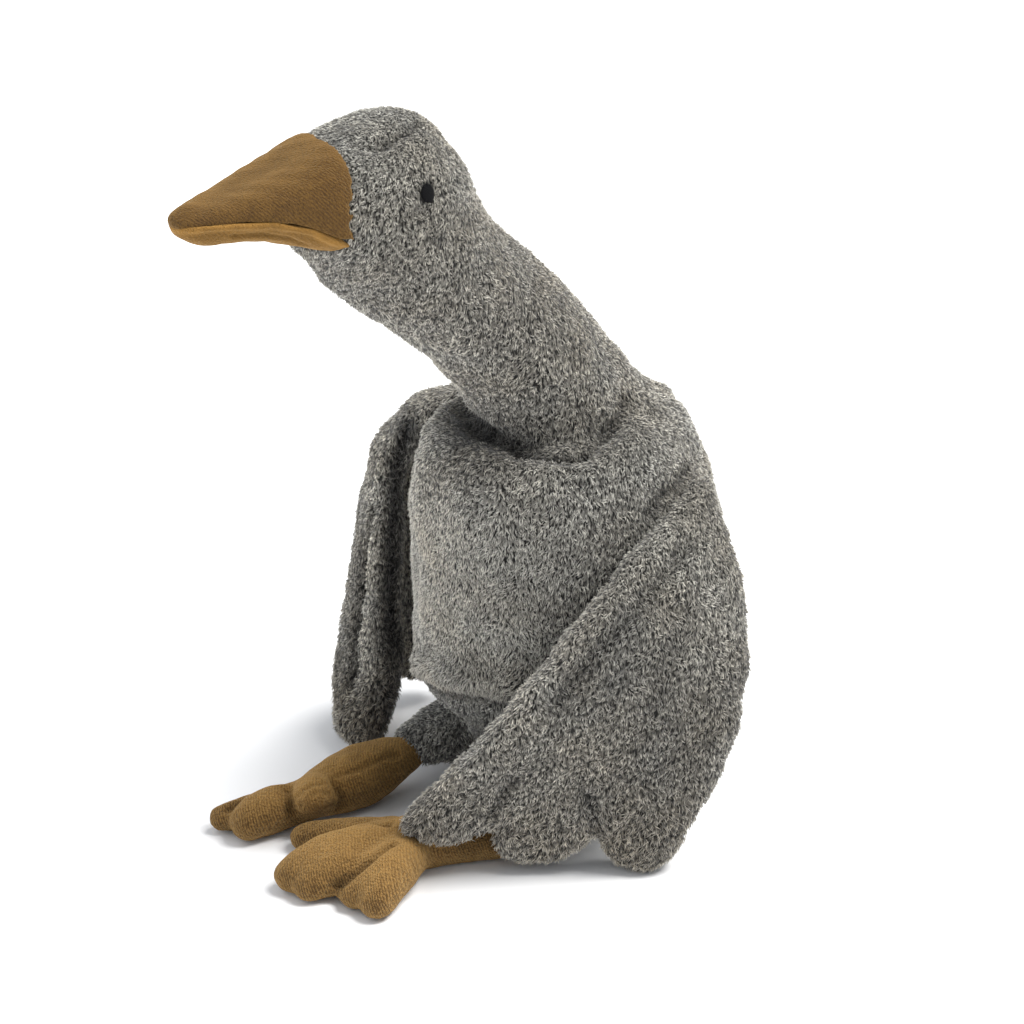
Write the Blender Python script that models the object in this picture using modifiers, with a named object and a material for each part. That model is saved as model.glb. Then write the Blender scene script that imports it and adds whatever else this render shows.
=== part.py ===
"""Stuffed plush goose that sits on the floor, legs out in front, wings hanging to the floor.

Metres, +Z up. The goose looks along -Y and its own left side is +X. The solids are the outer shape of each
sewn piece, out to the tips of the pile. Pieces that touch are parted by thin gaps.
"""

import math

import bmesh
import bpy
from mathutils import Matrix, Vector

# Driving dimensions of the whole toy.
TRUNK_WIDTH = 0.190
TRUNK_DEPTH = 0.196
NECK_WIDTH = 0.094
WING_THICKNESS = 0.027
GAP = 0.0003  # between neighbouring solids

# Trunk sack, seat to shoulders: height, shift of the ring along Y, shares of the full width and depth.
TRUNK_RINGS = (
    (-0.003, 0.022, 0.60, 0.50),
    (0.010, 0.018, 0.70, 0.59),
    (0.028, 0.014, 0.79, 0.69),
    (0.048, 0.009, 0.86, 0.79),
    (0.064, 0.004, 0.92, 0.885),
    (0.074, 0.001, 1.00, 0.995),
    (0.095, 0.000, 1.03, 1.03),
    (0.145, -0.001, 1.025, 1.02),
    (0.195, -0.006, 0.990, 0.980),
    (0.225, -0.011, 0.935, 0.925),
    (0.245, -0.013, 0.875, 0.865),
    (0.258, -0.013, 0.80, 0.79),
    (0.264, -0.013, 0.71, 0.70),
    (0.262, -0.010, 0.60, 0.60),
    (0.253, -0.006, 0.50, 0.50),
    (0.245, -0.004, 0.36, 0.36),
    (0.242, -0.004, 0.14, 0.14),
)

SHOULDER_LEVEL = 0.19  # above this the rings tilt, down in front and up behind
SHOULDER_TILT = 0.09

# Neck and head in one tube: place on the midplane (Y, Z), lean from upright in degrees, half width and half
# depth as shares of half the neck's width. The tube is parted at one of its rings.
HEAD_RINGS = (
    (0.022, 0.206, 26, 1.06, 1.10),
    (0.006, 0.240, 31, 1.12, 1.12),
    (-0.015, 0.273, 37, 1.04, 1.03),
    (-0.0450, 0.3145, 41, 0.99, 0.955),
    (-0.0762, 0.3475, 43, 0.98, 0.92),
    (-0.1015, 0.3725, 45, 1.03, 0.985),
    (-0.120, 0.398, 52, 1.08, 1.16),
    (-0.136, 0.415, 64, 1.06, 1.18),
    (-0.1544, 0.415, 78.5, 0.99, 1.076),
    (-0.173, 0.4195, 85, 0.90, 0.78),
    (-0.1805, 0.4158, 82, 0.62, 0.52),
    (-0.1865, 0.4095, 80, 0.30, 0.26),
)
HEAD_PARTING = 5

# Bill from inside the head to the tip: Y, heights of the ridge, the mouth seam and the lower edge, half width.
BILL_SECTIONS = (
    (-0.152, 0.446, 0.416, 0.406, 0.0320),
    (-0.162, 0.4545, 0.410, 0.400, 0.0415),
    (-0.169, 0.4575, 0.410, 0.397, 0.0438),
    (-0.178, 0.4555, 0.412, 0.397, 0.0425),
    (-0.192, 0.4490, 0.4185, 0.401, 0.0375),
    (-0.212, 0.4420, 0.4235, 0.407, 0.0300),
    (-0.232, 0.4360, 0.4235, 0.408, 0.0220),
    (-0.247, 0.4315, 0.4225, 0.4085, 0.0160),
    (-0.256, 0.4275, 0.4215, 0.4130, 0.0110),
    (-0.260, 0.4245, 0.4205, 0.4160, 0.0060),
)
BILL_FULLNESS = 0.78  # 1 is an elliptic arch, less is fuller at the shoulders
EYE_PLACE = (0.0455, -0.1255, 0.4298)
EYE_RADII = (0.0034, 0.0050, 0.0062)

# Each wing is a fan of four ribs from its root seam to its lower edge, as places along each rib. The ribs
# run from the front edge to the rear edge, and the two inner ones end in the notches between the three lobes.
WING_RIBS = {
    "wing_left": (
        ((0.0755, 0.034, 0.235), (0.0985, -0.042, 0.186), (0.0845, -0.0925, 0.122), (0.049, -0.148, 0.041)),
        ((0.0750, 0.038, 0.233), (0.108, -0.018, 0.179), (0.102, -0.057, 0.112), (0.071, -0.095, 0.035)),
        ((0.0735, 0.042, 0.231), (0.113, 0.014, 0.174), (0.118, -0.011, 0.105), (0.101, -0.040, 0.029)),
        ((0.0710, 0.046, 0.227), (0.108, 0.052, 0.174), (0.131, 0.042, 0.100), (0.124, 0.005, 0.016)),
    ),
    "wing_right": (
        ((-0.072, -0.028, 0.236), (-0.100, -0.071, 0.204), (-0.096, -0.074, 0.090), (-0.090, -0.088, 0.016)),
        ((-0.072, -0.008, 0.246), (-0.124, -0.053, 0.212), (-0.139, -0.074, 0.100), (-0.121, -0.098, 0.022)),
        ((-0.072, 0.016, 0.243), (-0.130, -0.014, 0.206), (-0.152, -0.030, 0.110), (-0.153, -0.048, 0.034)),
        ((-0.069, 0.038, 0.234), (-0.120, 0.032, 0.192), (-0.142, 0.024, 0.112), (-0.143, 0.002, 0.038)),
    ),
}
LOBE_REACH = (0.068, 0.125, 0.095)  # of each lobe past the line of the notches, as a share of a rib
WING_RIM = 0.014  # width of the rounded edge

# Stuffed velour feet: chains of round lobes, each place with its radius, from the ankle seam to each toe.
FEET = {
    "foot_left": (
        ((0.062, -0.072, 0.014, 0.0145), (0.050, -0.105, 0.014, 0.0150), (0.038, -0.140, 0.015, 0.0175)),
        ((0.032, -0.150, 0.014, 0.0150), (0.033, -0.188, 0.015, 0.0175), (0.031, -0.215, 0.011, 0.0115)),
        ((0.036, -0.165, 0.014, 0.0140), (0.043, -0.193, 0.014, 0.0155), (0.046, -0.211, 0.010, 0.0105)),
        ((0.047, -0.143, 0.014, 0.0150), (0.066, -0.168, 0.015, 0.0165), (0.084, -0.185, 0.011, 0.0115)),
        ((0.050, -0.150, 0.013, 0.0140), (0.060, -0.175, 0.013, 0.0135), (0.067, -0.192, 0.009, 0.0100)),
        ((0.026, -0.136, 0.012, 0.0130), (0.006, -0.166, 0.011, 0.0125), (-0.009, -0.187, 0.009, 0.0095)),
    ),
    "foot_right": (
        ((-0.053, -0.087, 0.022, 0.0105), (-0.045, -0.127, 0.020, 0.0205), (-0.040, -0.159, 0.018, 0.0160)),
        ((-0.042, -0.163, 0.014, 0.0120), (-0.041, -0.194, 0.015, 0.0155), (-0.037, -0.211, 0.013, 0.0125)),
        ((-0.040, -0.160, 0.018, 0.0130), (-0.029, -0.170, 0.025, 0.0135), (-0.021, -0.176, 0.028, 0.0115)),
        ((-0.042, -0.165, 0.012, 0.0120), (-0.052, -0.198, 0.011, 0.0110), (-0.056, -0.220, 0.009, 0.0090)),
    ),
}
FOOT_GRAIN = 0.0030  # size of the even mesh that fuses the lobes
FOOT_FACES = 590

# Plush thighs from inside the trunk to the foot seam: place with radius.
THIGHS = {
    "thigh_left": ((0.046, -0.040, 0.030, 0.0270), (0.054, -0.064, 0.026, 0.0230), (0.060, -0.082, 0.017, 0.0150)),
    "thigh_right": ((-0.046, -0.040, 0.038, 0.0270), (-0.050, -0.068, 0.032, 0.0215), (-0.0525, -0.092, 0.025, 0.0135)),
}
FOOT_OF = {"thigh_left": "foot_left", "thigh_right": "foot_right"}
# Flap of a tail behind the seat.
TAIL_PATH = ((0.0, 0.066, 0.046, 0.016), (0.0, 0.088, 0.047, 0.0125), (0.0, 0.108, 0.052, 0.0065))
TAIL_SPREAD = 2.9  # its width is this many times its height


def clear_scene():
    for obj in list(bpy.data.objects):
        bpy.data.objects.remove(obj, do_unlink=True)


def make_collection(name):
    collection = bpy.data.collections.new(name)
    bpy.context.scene.collection.children.link(collection)
    return collection


def make_material(name, colour, roughness):
    material = bpy.data.materials.new(name)
    material.use_nodes = True
    shader = material.node_tree.nodes["Principled BSDF"]
    shader.inputs["Base Color"].default_value = (*colour, 1.0)
    shader.inputs["Roughness"].default_value = roughness
    shader.inputs["Metallic"].default_value = 0.0
    return material


def add_object(name, shape, material, collection):
    """The bmesh as a smooth shaded object of triangles. The bmesh is freed."""
    bmesh.ops.recalc_face_normals(shape, faces=shape.faces)
    bmesh.ops.triangulate(shape, faces=shape.faces)
    mesh = bpy.data.meshes.new(name)
    shape.to_mesh(mesh)
    shape.free()
    mesh.shade_smooth()
    mesh.materials.append(material)
    obj = bpy.data.objects.new(name, mesh)
    collection.objects.link(obj)
    return obj


def smooth_rows(rows, steps):
    """Rows of numbers on a smooth curve through the given rows, with steps intervals between each two."""
    last = len(rows) - 1
    found = []
    for index in range(last):
        four = (rows[max(index - 1, 0)], rows[index], rows[index + 1], rows[min(index + 2, last)])
        for step in range(steps):
            found.append([catmull_rom(values, step / steps) for values in zip(*four)])
    found.append(list(rows[last]))
    return found


def catmull_rom(values, t):
    a, b, c, d = values
    return 0.5 * (2 * b + (c - a) * t + (2 * a - 5 * b + 4 * c - d) * t * t + (3 * b - a - 3 * c + d) * t**3)


def turn(index, count):
    """Cosine and sine of one of count equal steps round a circle."""
    angle = 2 * math.pi * index / count
    return math.cos(angle), math.sin(angle)


def loft(rings):
    """A closed skin through rings that have the same number of points."""
    shape = bmesh.new()
    loops = [[shape.verts.new(point) for point in ring] for ring in rings]
    for lower, upper in zip(loops, loops[1:]):
        for index, corner in enumerate(lower):
            before = index - 1
            shape.faces.new((lower[before], corner, upper[index], upper[before]))
    shape.faces.new(loops[0])
    shape.faces.new(loops[-1])
    return shape


def cut_plane(shape, point, normal):
    """Removes what lies past the plane, on the side that its normal points to, and closes the cut."""
    everything = [*shape.verts, *shape.edges, *shape.faces]
    cut = bmesh.ops.bisect_plane(
        shape, geom=everything, dist=1e-6, plane_co=point, plane_no=normal, clear_outer=True
    )
    rim = [item for item in cut["geom_cut"] if isinstance(item, bmesh.types.BMEdge)]
    bmesh.ops.holes_fill(shape, edges=rim, sides=0)


def flatten_foot(shape):
    """Cuts a resting piece flat at the floor."""
    cut_plane(shape, (0, 0, 0), (0, 0, -1))


def trunk_shape():
    rings = []
    circle = [turn(index, 26) for index in range(26)]
    top = max(row[0] for row in TRUNK_RINGS)
    for height, shift, width, depth in smooth_rows(TRUNK_RINGS, 2):
        half = (width * TRUNK_WIDTH / 2, depth * TRUNK_DEPTH / 2)
        tilt = SHOULDER_TILT * max(0.0, (height - SHOULDER_LEVEL) / (top - SHOULDER_LEVEL))
        ring = [(half[0] * x, shift + half[1] * y) for x, y in circle]
        rings.append([Vector((x, y, height + tilt * y)) for x, y in ring])
    shape = loft(rings)
    flatten_foot(shape)
    return shape


def tube_rings(rows, sides):
    """Rings of a tube on the midplane, from rows like HEAD_RINGS."""
    rings = []
    for y, z, lean, half_width, half_depth in rows:
        angle = math.radians(lean)
        across = Vector((0, math.cos(angle), math.sin(angle)))
        centre = Vector((0, y, z))
        ring = []
        for index in range(sides):
            cosine, sine = turn(index, sides)
            wide = Vector((half_width * NECK_WIDTH / 2 * cosine, 0, 0))
            ring.append(centre + wide + across * (half_depth * NECK_WIDTH / 2 * sine))
        rings.append(ring)
    return rings


def head_tube():
    return loft(tube_rings(smooth_rows(HEAD_RINGS, 2), 24))


def parting_plane():
    """Point and forward normal of the cut between neck and head."""
    y, z, lean = HEAD_RINGS[HEAD_PARTING][:3]
    angle = math.radians(lean)
    return Vector((0, y, z)), Vector((0, -math.sin(angle), math.cos(angle)))


def neck_shape():
    point, forward = parting_plane()
    shape = head_tube()
    cut_plane(shape, point - forward * (GAP / 2), forward)
    return shape


def head_shape():
    point, forward = parting_plane()
    shape = head_tube()
    cut_plane(shape, point + forward * (GAP / 2), -forward)
    return shape


def bill_ring(y, top, bottom, half_width, sides):
    """A section of the bill: a full arch over a flat base, or a shallow keel where top is the lower one."""
    ring = []
    for index in range(sides + 1):
        cosine, sine = turn(index, 2 * sides)
        out = math.copysign(abs(cosine) ** BILL_FULLNESS, cosine)
        ring.append(Vector((half_width * out, y, bottom + (top - bottom) * abs(sine) ** BILL_FULLNESS)))
    for index in range(1, 6):
        ring.append(Vector((-half_width * (1 - index / 3), y, bottom)))
    return ring


def upper_bill_shape():
    rows = smooth_rows(BILL_SECTIONS, 2)
    return loft([bill_ring(y, ridge, mouth, half, 14) for y, ridge, mouth, low, half in rows])


def lower_bill_shape():
    rows = smooth_rows(BILL_SECTIONS, 2)
    return loft([bill_ring(y, low, mouth - GAP, half * 0.96, 10) for y, ridge, mouth, low, half in rows])


def ball(shape, centre, radii):
    place = Matrix.Translation(centre) @ Matrix.Diagonal((*radii, 1))
    bmesh.ops.create_uvsphere(shape, u_segments=12, v_segments=8, radius=1, matrix=place)


def eye_shape(side):
    shape = bmesh.new()
    x, y, z = EYE_PLACE
    ball(shape, Vector((side * x, y, z)), EYE_RADII)
    return shape


def rib_point(rib, share):
    """Place at a share of a rib's length, carried on straight past its end."""
    last = len(rib) - 1
    index = min(int(share * last), last - 1)
    four = [Vector(rib[min(max(place, 0), last)]) for place in range(index - 1, index + 3)]
    if share > 1:
        return four[2] + (four[2] - four[1]) * ((share - 1) * last)
    return Vector([catmull_rom(values, share * last - index) for values in zip(*four)])


def fan_point(ribs, across, share):
    """Place on a wing's middle surface: across runs 0 to 3 from the front rib to the rear rib."""
    places = [rib_point(rib, share) for rib in ribs]
    index = min(int(across), 2)
    four = [places[max(index - 1, 0)], places[index], places[index + 1], places[min(index + 2, 3)]]
    if index == 0:
        four[0] = 2 * places[0] - places[1]
    if index == 2:
        four[3] = 2 * places[3] - places[2]
    return Vector([catmull_rom(values, across - index) for values in zip(*four)])


def lobe_end(across):
    """Share of a rib's length at which the wing ends, with a round lobe between each two ribs."""
    index = min(int(across), 2)
    offset = 2 * (across - index) - 1
    return 1 + LOBE_REACH[index] * math.sqrt(max(1 - offset * offset, 0))


def wing_columns():
    """Stations across a wing, closer together at the notches and the two edges."""
    steps = 6
    found = []
    for index in range(3):
        found += [index + (1 - math.cos(math.pi * step / steps)) / 2 for step in range(steps)]
    return [*found, 3.0]


def round_rim(distance):
    """Share of the full thickness at a distance from the edge."""
    inward = min(max(distance / WING_RIM, 0), 1)
    return math.sqrt(1 - (1 - inward) ** 2)


def wing_shape(ribs):
    columns = wing_columns()
    rows = [math.sin(math.pi / 2 * step / 13) for step in range(14)]
    step = 0.01
    shape = bmesh.new()
    for side in (1, -1):
        grid = []
        for across in columns:
            line = []
            end = lobe_end(across)
            slope = (lobe_end(min(across + step, 3)) - lobe_end(max(across - step, 0))) / (2 * step)
            for row in rows:
                share = row * end
                here = fan_point(ribs, across, share)
                along = fan_point(ribs, across, share + step) - here
                sideways = fan_point(ribs, across + step, share) - fan_point(ribs, across - step, share)
                length = along.length / step
                width = sideways.length / (2 * step)
                below = (end - share) * length / math.hypot(1, slope * length / width)
                edge = min(across * width, (3 - across) * width, below)
                rise = round_rim(edge) * WING_THICKNESS / 2
                line.append(shape.verts.new(here + along.cross(sideways).normalized() * (side * rise)))
            grid.append(line)
        for near, far in zip(grid, grid[1:]):
            for row in range(len(rows) - 1):
                shape.faces.new((near[row], near[row + 1], far[row + 1], far[row]))
    bmesh.ops.remove_doubles(shape, verts=shape.verts, dist=1e-5)
    root = [edge for edge in shape.edges if edge.is_boundary]
    bmesh.ops.holes_fill(shape, edges=root, sides=0)
    flatten_foot(shape)
    return shape


def chain_balls(shape, chain):
    """Round lobes along a chain of places with radii, close enough to fuse."""
    for x, y, z, radius in smooth_rows(chain, 6):
        ball(shape, Vector((x, y, z)), (radius, radius, radius))


def fused(name, shape, grain, faces):
    """The lobes fused into one even skin, smoothed and thinned to about the number of faces."""
    draft = add_object(name + "_draft", shape, None, bpy.context.scene.collection)
    fuse = draft.modifiers.new("fuse", "REMESH")
    fuse.mode = "VOXEL"
    fuse.voxel_size = grain
    soften = draft.modifiers.new("soften", "SMOOTH")
    soften.factor = 0.5
    soften.iterations = 5
    graph = bpy.context.evaluated_depsgraph_get()
    skin = draft.evaluated_get(graph)
    count = len(skin.data.polygons) * 2
    thin = draft.modifiers.new("thin", "DECIMATE")
    thin.ratio = min(faces / count, 1)
    graph = bpy.context.evaluated_depsgraph_get()
    result = bmesh.new()
    result.from_mesh(draft.evaluated_get(graph).data)
    bpy.data.objects.remove(draft, do_unlink=True)
    return result


def foot_shape(name):
    shape = bmesh.new()
    for chain in FEET[name]:
        chain_balls(shape, chain)
    shape = fused(name, shape, FOOT_GRAIN, FOOT_FACES)
    flatten_foot(shape)
    return shape


def chain_tube(chain, spread=1.0, sides=20):
    """A tube through a chain of places with radii, rounded off at its far end."""
    rows = smooth_rows(chain, 3)
    rings = []
    for index, row in enumerate(rows):
        ahead = rows[min(index + 1, len(rows) - 1)]
        behind = rows[max(index - 1, 0)]
        forward = (Vector(ahead[:3]) - Vector(behind[:3])).normalized()
        wide = forward.cross(Vector((0, 0, 1))).normalized()
        high = wide.cross(forward)
        centre, radius = Vector(row[:3]), row[3]
        circle = [turn(step, sides) for step in range(sides)]
        rings.append([centre + wide * (x * radius * spread) + high * (z * radius) for x, z in circle])
    tip = rings[-1]
    centre = sum(tip, Vector()) / len(tip)
    reach = forward * (chain[-1][3] * 0.45)
    rings.append([centre + (point - centre) * 0.78 + reach * 0.7 for point in tip])
    rings.append([centre + (point - centre) * 0.40 + reach for point in tip])
    return loft(rings)


def thigh_shape(name):
    shape = chain_tube(THIGHS[name])
    flatten_foot(shape)
    return shape


def keep_clear(obj, neighbour, cutters):
    """Cuts the neighbour's shape, grown by the gap, out of the object."""
    shape = bmesh.new()
    shape.from_mesh(neighbour.data)
    shape.normal_update()
    for vert in shape.verts:
        vert.co += vert.normal * GAP
    cutter = add_object(f"{neighbour.name}_out_of_{obj.name}", shape, neighbour.data.materials[0], cutters)
    cutter.hide_render = True
    cutter.display_type = "WIRE"
    cut = obj.modifiers.new(f"clear of {neighbour.name}", "BOOLEAN")
    cut.operation = "DIFFERENCE"
    cut.solver = "EXACT"
    cut.object = cutter


def stand_at_origin(parts, cutters):
    """Moves everything so that the origin is under the centre of the whole toy, at the floor."""
    points = [vert.co for part in parts for vert in part.data.vertices]
    middle = [(min(p[axis] for p in points) + max(p[axis] for p in points)) / 2 for axis in (0, 1)]
    move = Matrix.Translation((-middle[0], -middle[1], 0))
    for obj in (*parts, *cutters.objects):
        obj.data.transform(move)


def build():
    clear_scene()
    goose = make_collection("plush_goose")
    cutters = make_collection("cutters")
    plush = make_material("plush", (0.30, 0.29, 0.27), 0.95)
    velour = make_material("velour", (0.28, 0.17, 0.06), 0.85)
    thread = make_material("eye_thread", (0.012, 0.012, 0.014), 0.6)

    trunk = add_object("trunk", trunk_shape(), plush, goose)
    neck = add_object("neck", neck_shape(), plush, goose)
    head = add_object("head", head_shape(), plush, goose)
    upper = add_object("beak_upper", upper_bill_shape(), velour, goose)
    lower = add_object("beak_lower", lower_bill_shape(), velour, goose)
    tail = add_object("tail", chain_tube(TAIL_PATH, TAIL_SPREAD), plush, goose)
    keep_clear(neck, trunk, cutters)
    keep_clear(upper, head, cutters)
    keep_clear(lower, head, cutters)
    keep_clear(tail, trunk, cutters)
    parts = [trunk, neck, head, upper, lower, tail]
    for name, side in (("eye_left", 1), ("eye_right", -1)):
        eye = add_object(name, eye_shape(side), thread, goose)
        keep_clear(eye, head, cutters)
        parts.append(eye)
    legs = []
    for name, foot_name in FOOT_OF.items():
        foot = add_object(foot_name, foot_shape(foot_name), velour, goose)
        thigh = add_object(name, thigh_shape(name), plush, goose)
        keep_clear(thigh, trunk, cutters)
        keep_clear(thigh, foot, cutters)
        legs += [foot, thigh]
    parts += legs
    for name, ribs in WING_RIBS.items():
        wing = add_object(name, wing_shape(ribs), plush, goose)
        for neighbour in (trunk, neck, *legs):
            keep_clear(wing, neighbour, cutters)
        parts.append(wing)
    stand_at_origin(parts, cutters)


build()
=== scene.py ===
"""A sewn plush goose that sits with its two velour feet before it.

Its cover and wings carry a short pile of solid locks, its bill and feet are velour, and its eyes are
stitched.
"""
import math

import bmesh
import bpy
import numpy as np
from bpy.props import FloatProperty, FloatVectorProperty, IntProperty, PointerProperty
from mathutils import Matrix, Vector
from mathutils.bvhtree import BVHTree
from mathutils.kdtree import KDTree


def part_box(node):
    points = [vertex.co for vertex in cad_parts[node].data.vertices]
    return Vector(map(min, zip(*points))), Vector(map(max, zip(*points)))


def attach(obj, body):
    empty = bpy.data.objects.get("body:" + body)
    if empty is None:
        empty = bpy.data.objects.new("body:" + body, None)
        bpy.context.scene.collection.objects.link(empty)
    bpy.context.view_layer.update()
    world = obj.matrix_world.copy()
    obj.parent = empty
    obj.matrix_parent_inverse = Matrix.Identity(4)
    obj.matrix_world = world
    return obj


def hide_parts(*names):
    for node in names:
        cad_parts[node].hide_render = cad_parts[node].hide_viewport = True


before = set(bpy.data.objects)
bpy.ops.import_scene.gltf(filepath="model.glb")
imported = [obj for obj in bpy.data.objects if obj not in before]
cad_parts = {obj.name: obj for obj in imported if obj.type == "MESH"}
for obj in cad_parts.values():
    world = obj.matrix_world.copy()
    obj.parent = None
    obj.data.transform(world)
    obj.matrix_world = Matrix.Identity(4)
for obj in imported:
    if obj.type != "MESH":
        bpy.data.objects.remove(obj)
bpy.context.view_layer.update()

bl_info = {
    "name": "Plush Goose",
    "version": (1, 0, 0),
    "blender": (4, 5, 0),
    "location": "View3D > Sidebar > Goose",
    "description": "Builds a sewn plush goose piece by piece over its solids",
    "category": "Add Mesh",
}

HEAD_LOW, HEAD_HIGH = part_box("head")
# Places below are told from the middle of the trunk, at the floor. The bill's tip is this far before it.
BILL_REACH = 0.260
# The middle of the trunk in the shared frame.
HOME = Vector(((HEAD_LOW.x + HEAD_HIGH.x) / 2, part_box("beak_upper")[0].y + BILL_REACH, 0.0))

BODY_NODES = ("trunk", "neck", "head", "tail", "thigh_left", "thigh_right")
WING_NODES = ("wing_left", "wing_right")
BILL_NODES = ("beak_upper", "beak_lower")
FOOT_NODES = ("foot_left", "foot_right")
EYE_NODES = ("eye_left", "eye_right")

# Points that are nearer to each other than this are one.
WELD = 1e-5
# How far the body's solids are grown, so that one skin closes over the gaps between them.
OVERLAP = 0.0006
# The width of a face of each skin, and how many rounds even the skin out.
SKIN_CUT = {
    "body": (0.0028, 14),
    "wing": (0.0023, 10),
    "bill": (0.0011, 14),
    "lip": (0.0009, 4),
    "foot": (0.0013, 8),
}
# The lowest that a skin under the pile, and a lock of the pile, may lie.
SKIN_FLOOR = 0.0015
LOCK_FLOOR = 0.0003
# A lock has six faces, and this many keep a joined piece under 200,000.
LOCKS_PER_PIECE = 33000
# Where a lock is widest, as a share of its length, and how deep its root stands in the skin.
LOCK_WAIST = 0.42
ROOT_DEPTH = 0.0007
# Width of the patch of the skin's unwrap that the corners of a lock are spread over.
LOCK_PATCH = 0.003
# A root that has another piece straight over it, within half of SIGHT, is left bare unless it sees as far as
# SIGHT past that piece. Roots with nothing within NEARBY aren't tried.
SIGHT = 0.010
NEARBY = 0.012
# How far from the middle lock of its tuft a lock is wholly at the tuft's border.
TUFT_REACH = 0.0020

# From the middle of the floor to its edge, and what the lamps and the camera point at.
FLOOR_REACH = 40.0
LAMP_AIM = (0.0, -0.04, 0.2)
CAMERA_AIM = (0.0, -0.044, 0.2)
# The camera's sensor, in millimetres.
SENSOR_WIDTH = 36.0


def place(x, y, z):
    """A place told from the trunk, in the shared frame."""
    return Vector((x, y, z)) + HOME


def placed(path):
    """A path told from the trunk, in the shared frame."""
    return [place(*corner) for corner in path]


def from_trunk(points):
    """Points of the shared frame, told from the trunk."""
    return points - np.array(HOME)


# ---------------------------------------------------------------- meshes


def welded_copy(nodes, grow=0.0):
    """One mesh of the nodes' welded copies, each grown by grow metres so that neighbours run together."""
    whole = bmesh.new()
    for node in nodes:
        part = bmesh.new()
        part.from_mesh(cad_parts[node].data)
        bmesh.ops.remove_doubles(part, verts=part.verts, dist=WELD)
        part.normal_update()
        for vert in part.verts:
            vert.co += vert.normal * grow
        copy = bpy.data.meshes.new("copy")
        part.to_mesh(copy)
        whole.from_mesh(copy)
        part.free()
        bpy.data.meshes.remove(copy)
    mesh = bpy.data.meshes.new("welded")
    whole.to_mesh(mesh)
    whole.free()
    return mesh


def add_piece(name, mesh, material):
    """An object at the origin that rides on the body and takes its finish from slot."""
    piece = bpy.data.objects.new(name, mesh)
    mesh.name = name
    bpy.context.scene.collection.objects.link(piece)
    mesh.materials.clear()
    mesh.materials.append(material)
    mesh.polygons.foreach_set("use_smooth", np.ones(len(mesh.polygons), bool))
    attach(piece, "root")
    return piece


def relaxed(values, mesh, rounds):
    """The points' values (one row each) evened out along the mesh's edges."""
    pairs = np.empty(len(mesh.edges) * 2, np.int32)
    mesh.edges.foreach_get("vertices", pairs)
    first, second = pairs.reshape(-1, 2).T
    count = len(mesh.vertices)
    shared = np.bincount(first, minlength=count) + np.bincount(second, minlength=count)
    values = values.copy()
    for _ in range(rounds):
        for column in range(values.shape[1]):
            line = values[:, column]
            total = np.bincount(first, line[second], count) + np.bincount(second, line[first], count)
            values[:, column] = 0.5 * line + 0.5 * total / np.maximum(shared, 1)
    return values


def cloth_skin(mesh, voxel, rounds):
    """The mesh made into one even skin of voxel metres a face, and rounded off without losing its size."""
    holder = bpy.data.objects.new("holder", mesh)
    bpy.context.scene.collection.objects.link(holder)
    remesh = holder.modifiers.new("Remesh", "REMESH")
    remesh.mode, remesh.voxel_size = "VOXEL", voxel
    graph = bpy.context.evaluated_depsgraph_get()
    made = bpy.data.meshes.new_from_object(holder.evaluated_get(graph))
    bpy.data.objects.remove(holder)
    bpy.data.meshes.remove(mesh)
    rough = points_of(made)
    even = relaxed(rough, made, rounds)
    set_points(made, even)
    normals = normals_of(made)
    lost = ((rough - even) * normals).sum(1)[:, None]
    set_points(made, even + normals * relaxed(lost, made, rounds))
    return made


def points_of(mesh):
    """The mesh's points as an array."""
    points = np.empty(len(mesh.vertices) * 3, np.float32)
    mesh.vertices.foreach_get("co", points)
    return points.reshape(-1, 3).astype(float)


def normals_of(mesh):
    """The mesh's point normals as an array."""
    normals = np.empty(len(mesh.vertices) * 3, np.float32)
    mesh.vertices.foreach_get("normal", normals)
    return normals.reshape(-1, 3).astype(float)


def set_points(mesh, points):
    """Moves the mesh's points."""
    mesh.vertices.foreach_set("co", points.astype(np.float32).ravel())
    mesh.update()


def drift(points, spread, seed):
    """A smooth value of about -1 to 1 at each point, which changes over spread metres."""
    rng = np.random.default_rng(seed)
    waves = rng.normal(size=(10, 3)) * 2.6 / spread
    starts = rng.uniform(0, 2 * math.pi, 10)
    return np.sin(points @ waves.T + starts).sum(1) / 4.5


def uneven(values, points, kind):
    """The values with the drifts of this kind of unevenness added."""
    for much, spread, seed in UNEVEN[kind]:
        values = values + much * drift(points, spread, seed)
    return values


def ramp(values, low, high):
    """0 below low, 1 above high and smooth between."""
    t = np.clip((values - low) / (high - low), 0, 1)
    return t * t * (3 - 2 * t)


def nearness(points, path, reach):
    """1 on the path of points and falling off to 0 over reach metres."""
    best = np.full(len(points), 1e9)
    corners = [np.array(c, float) for c in path]
    for start, end in zip(corners, corners[1:]):
        along = end - start
        share = np.clip((points - start) @ along / max(along @ along, 1e-12), 0, 1)
        best = np.minimum(best, np.linalg.norm(points - start - share[:, None] * along, axis=1))
    return np.exp(-((best / reach) ** 2))


def set_values(mesh, name, values):
    """A value for each point, which the materials read."""
    data = mesh.attributes.new(name, "FLOAT", "POINT").data
    data.foreach_set("value", values.astype(np.float32))


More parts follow.
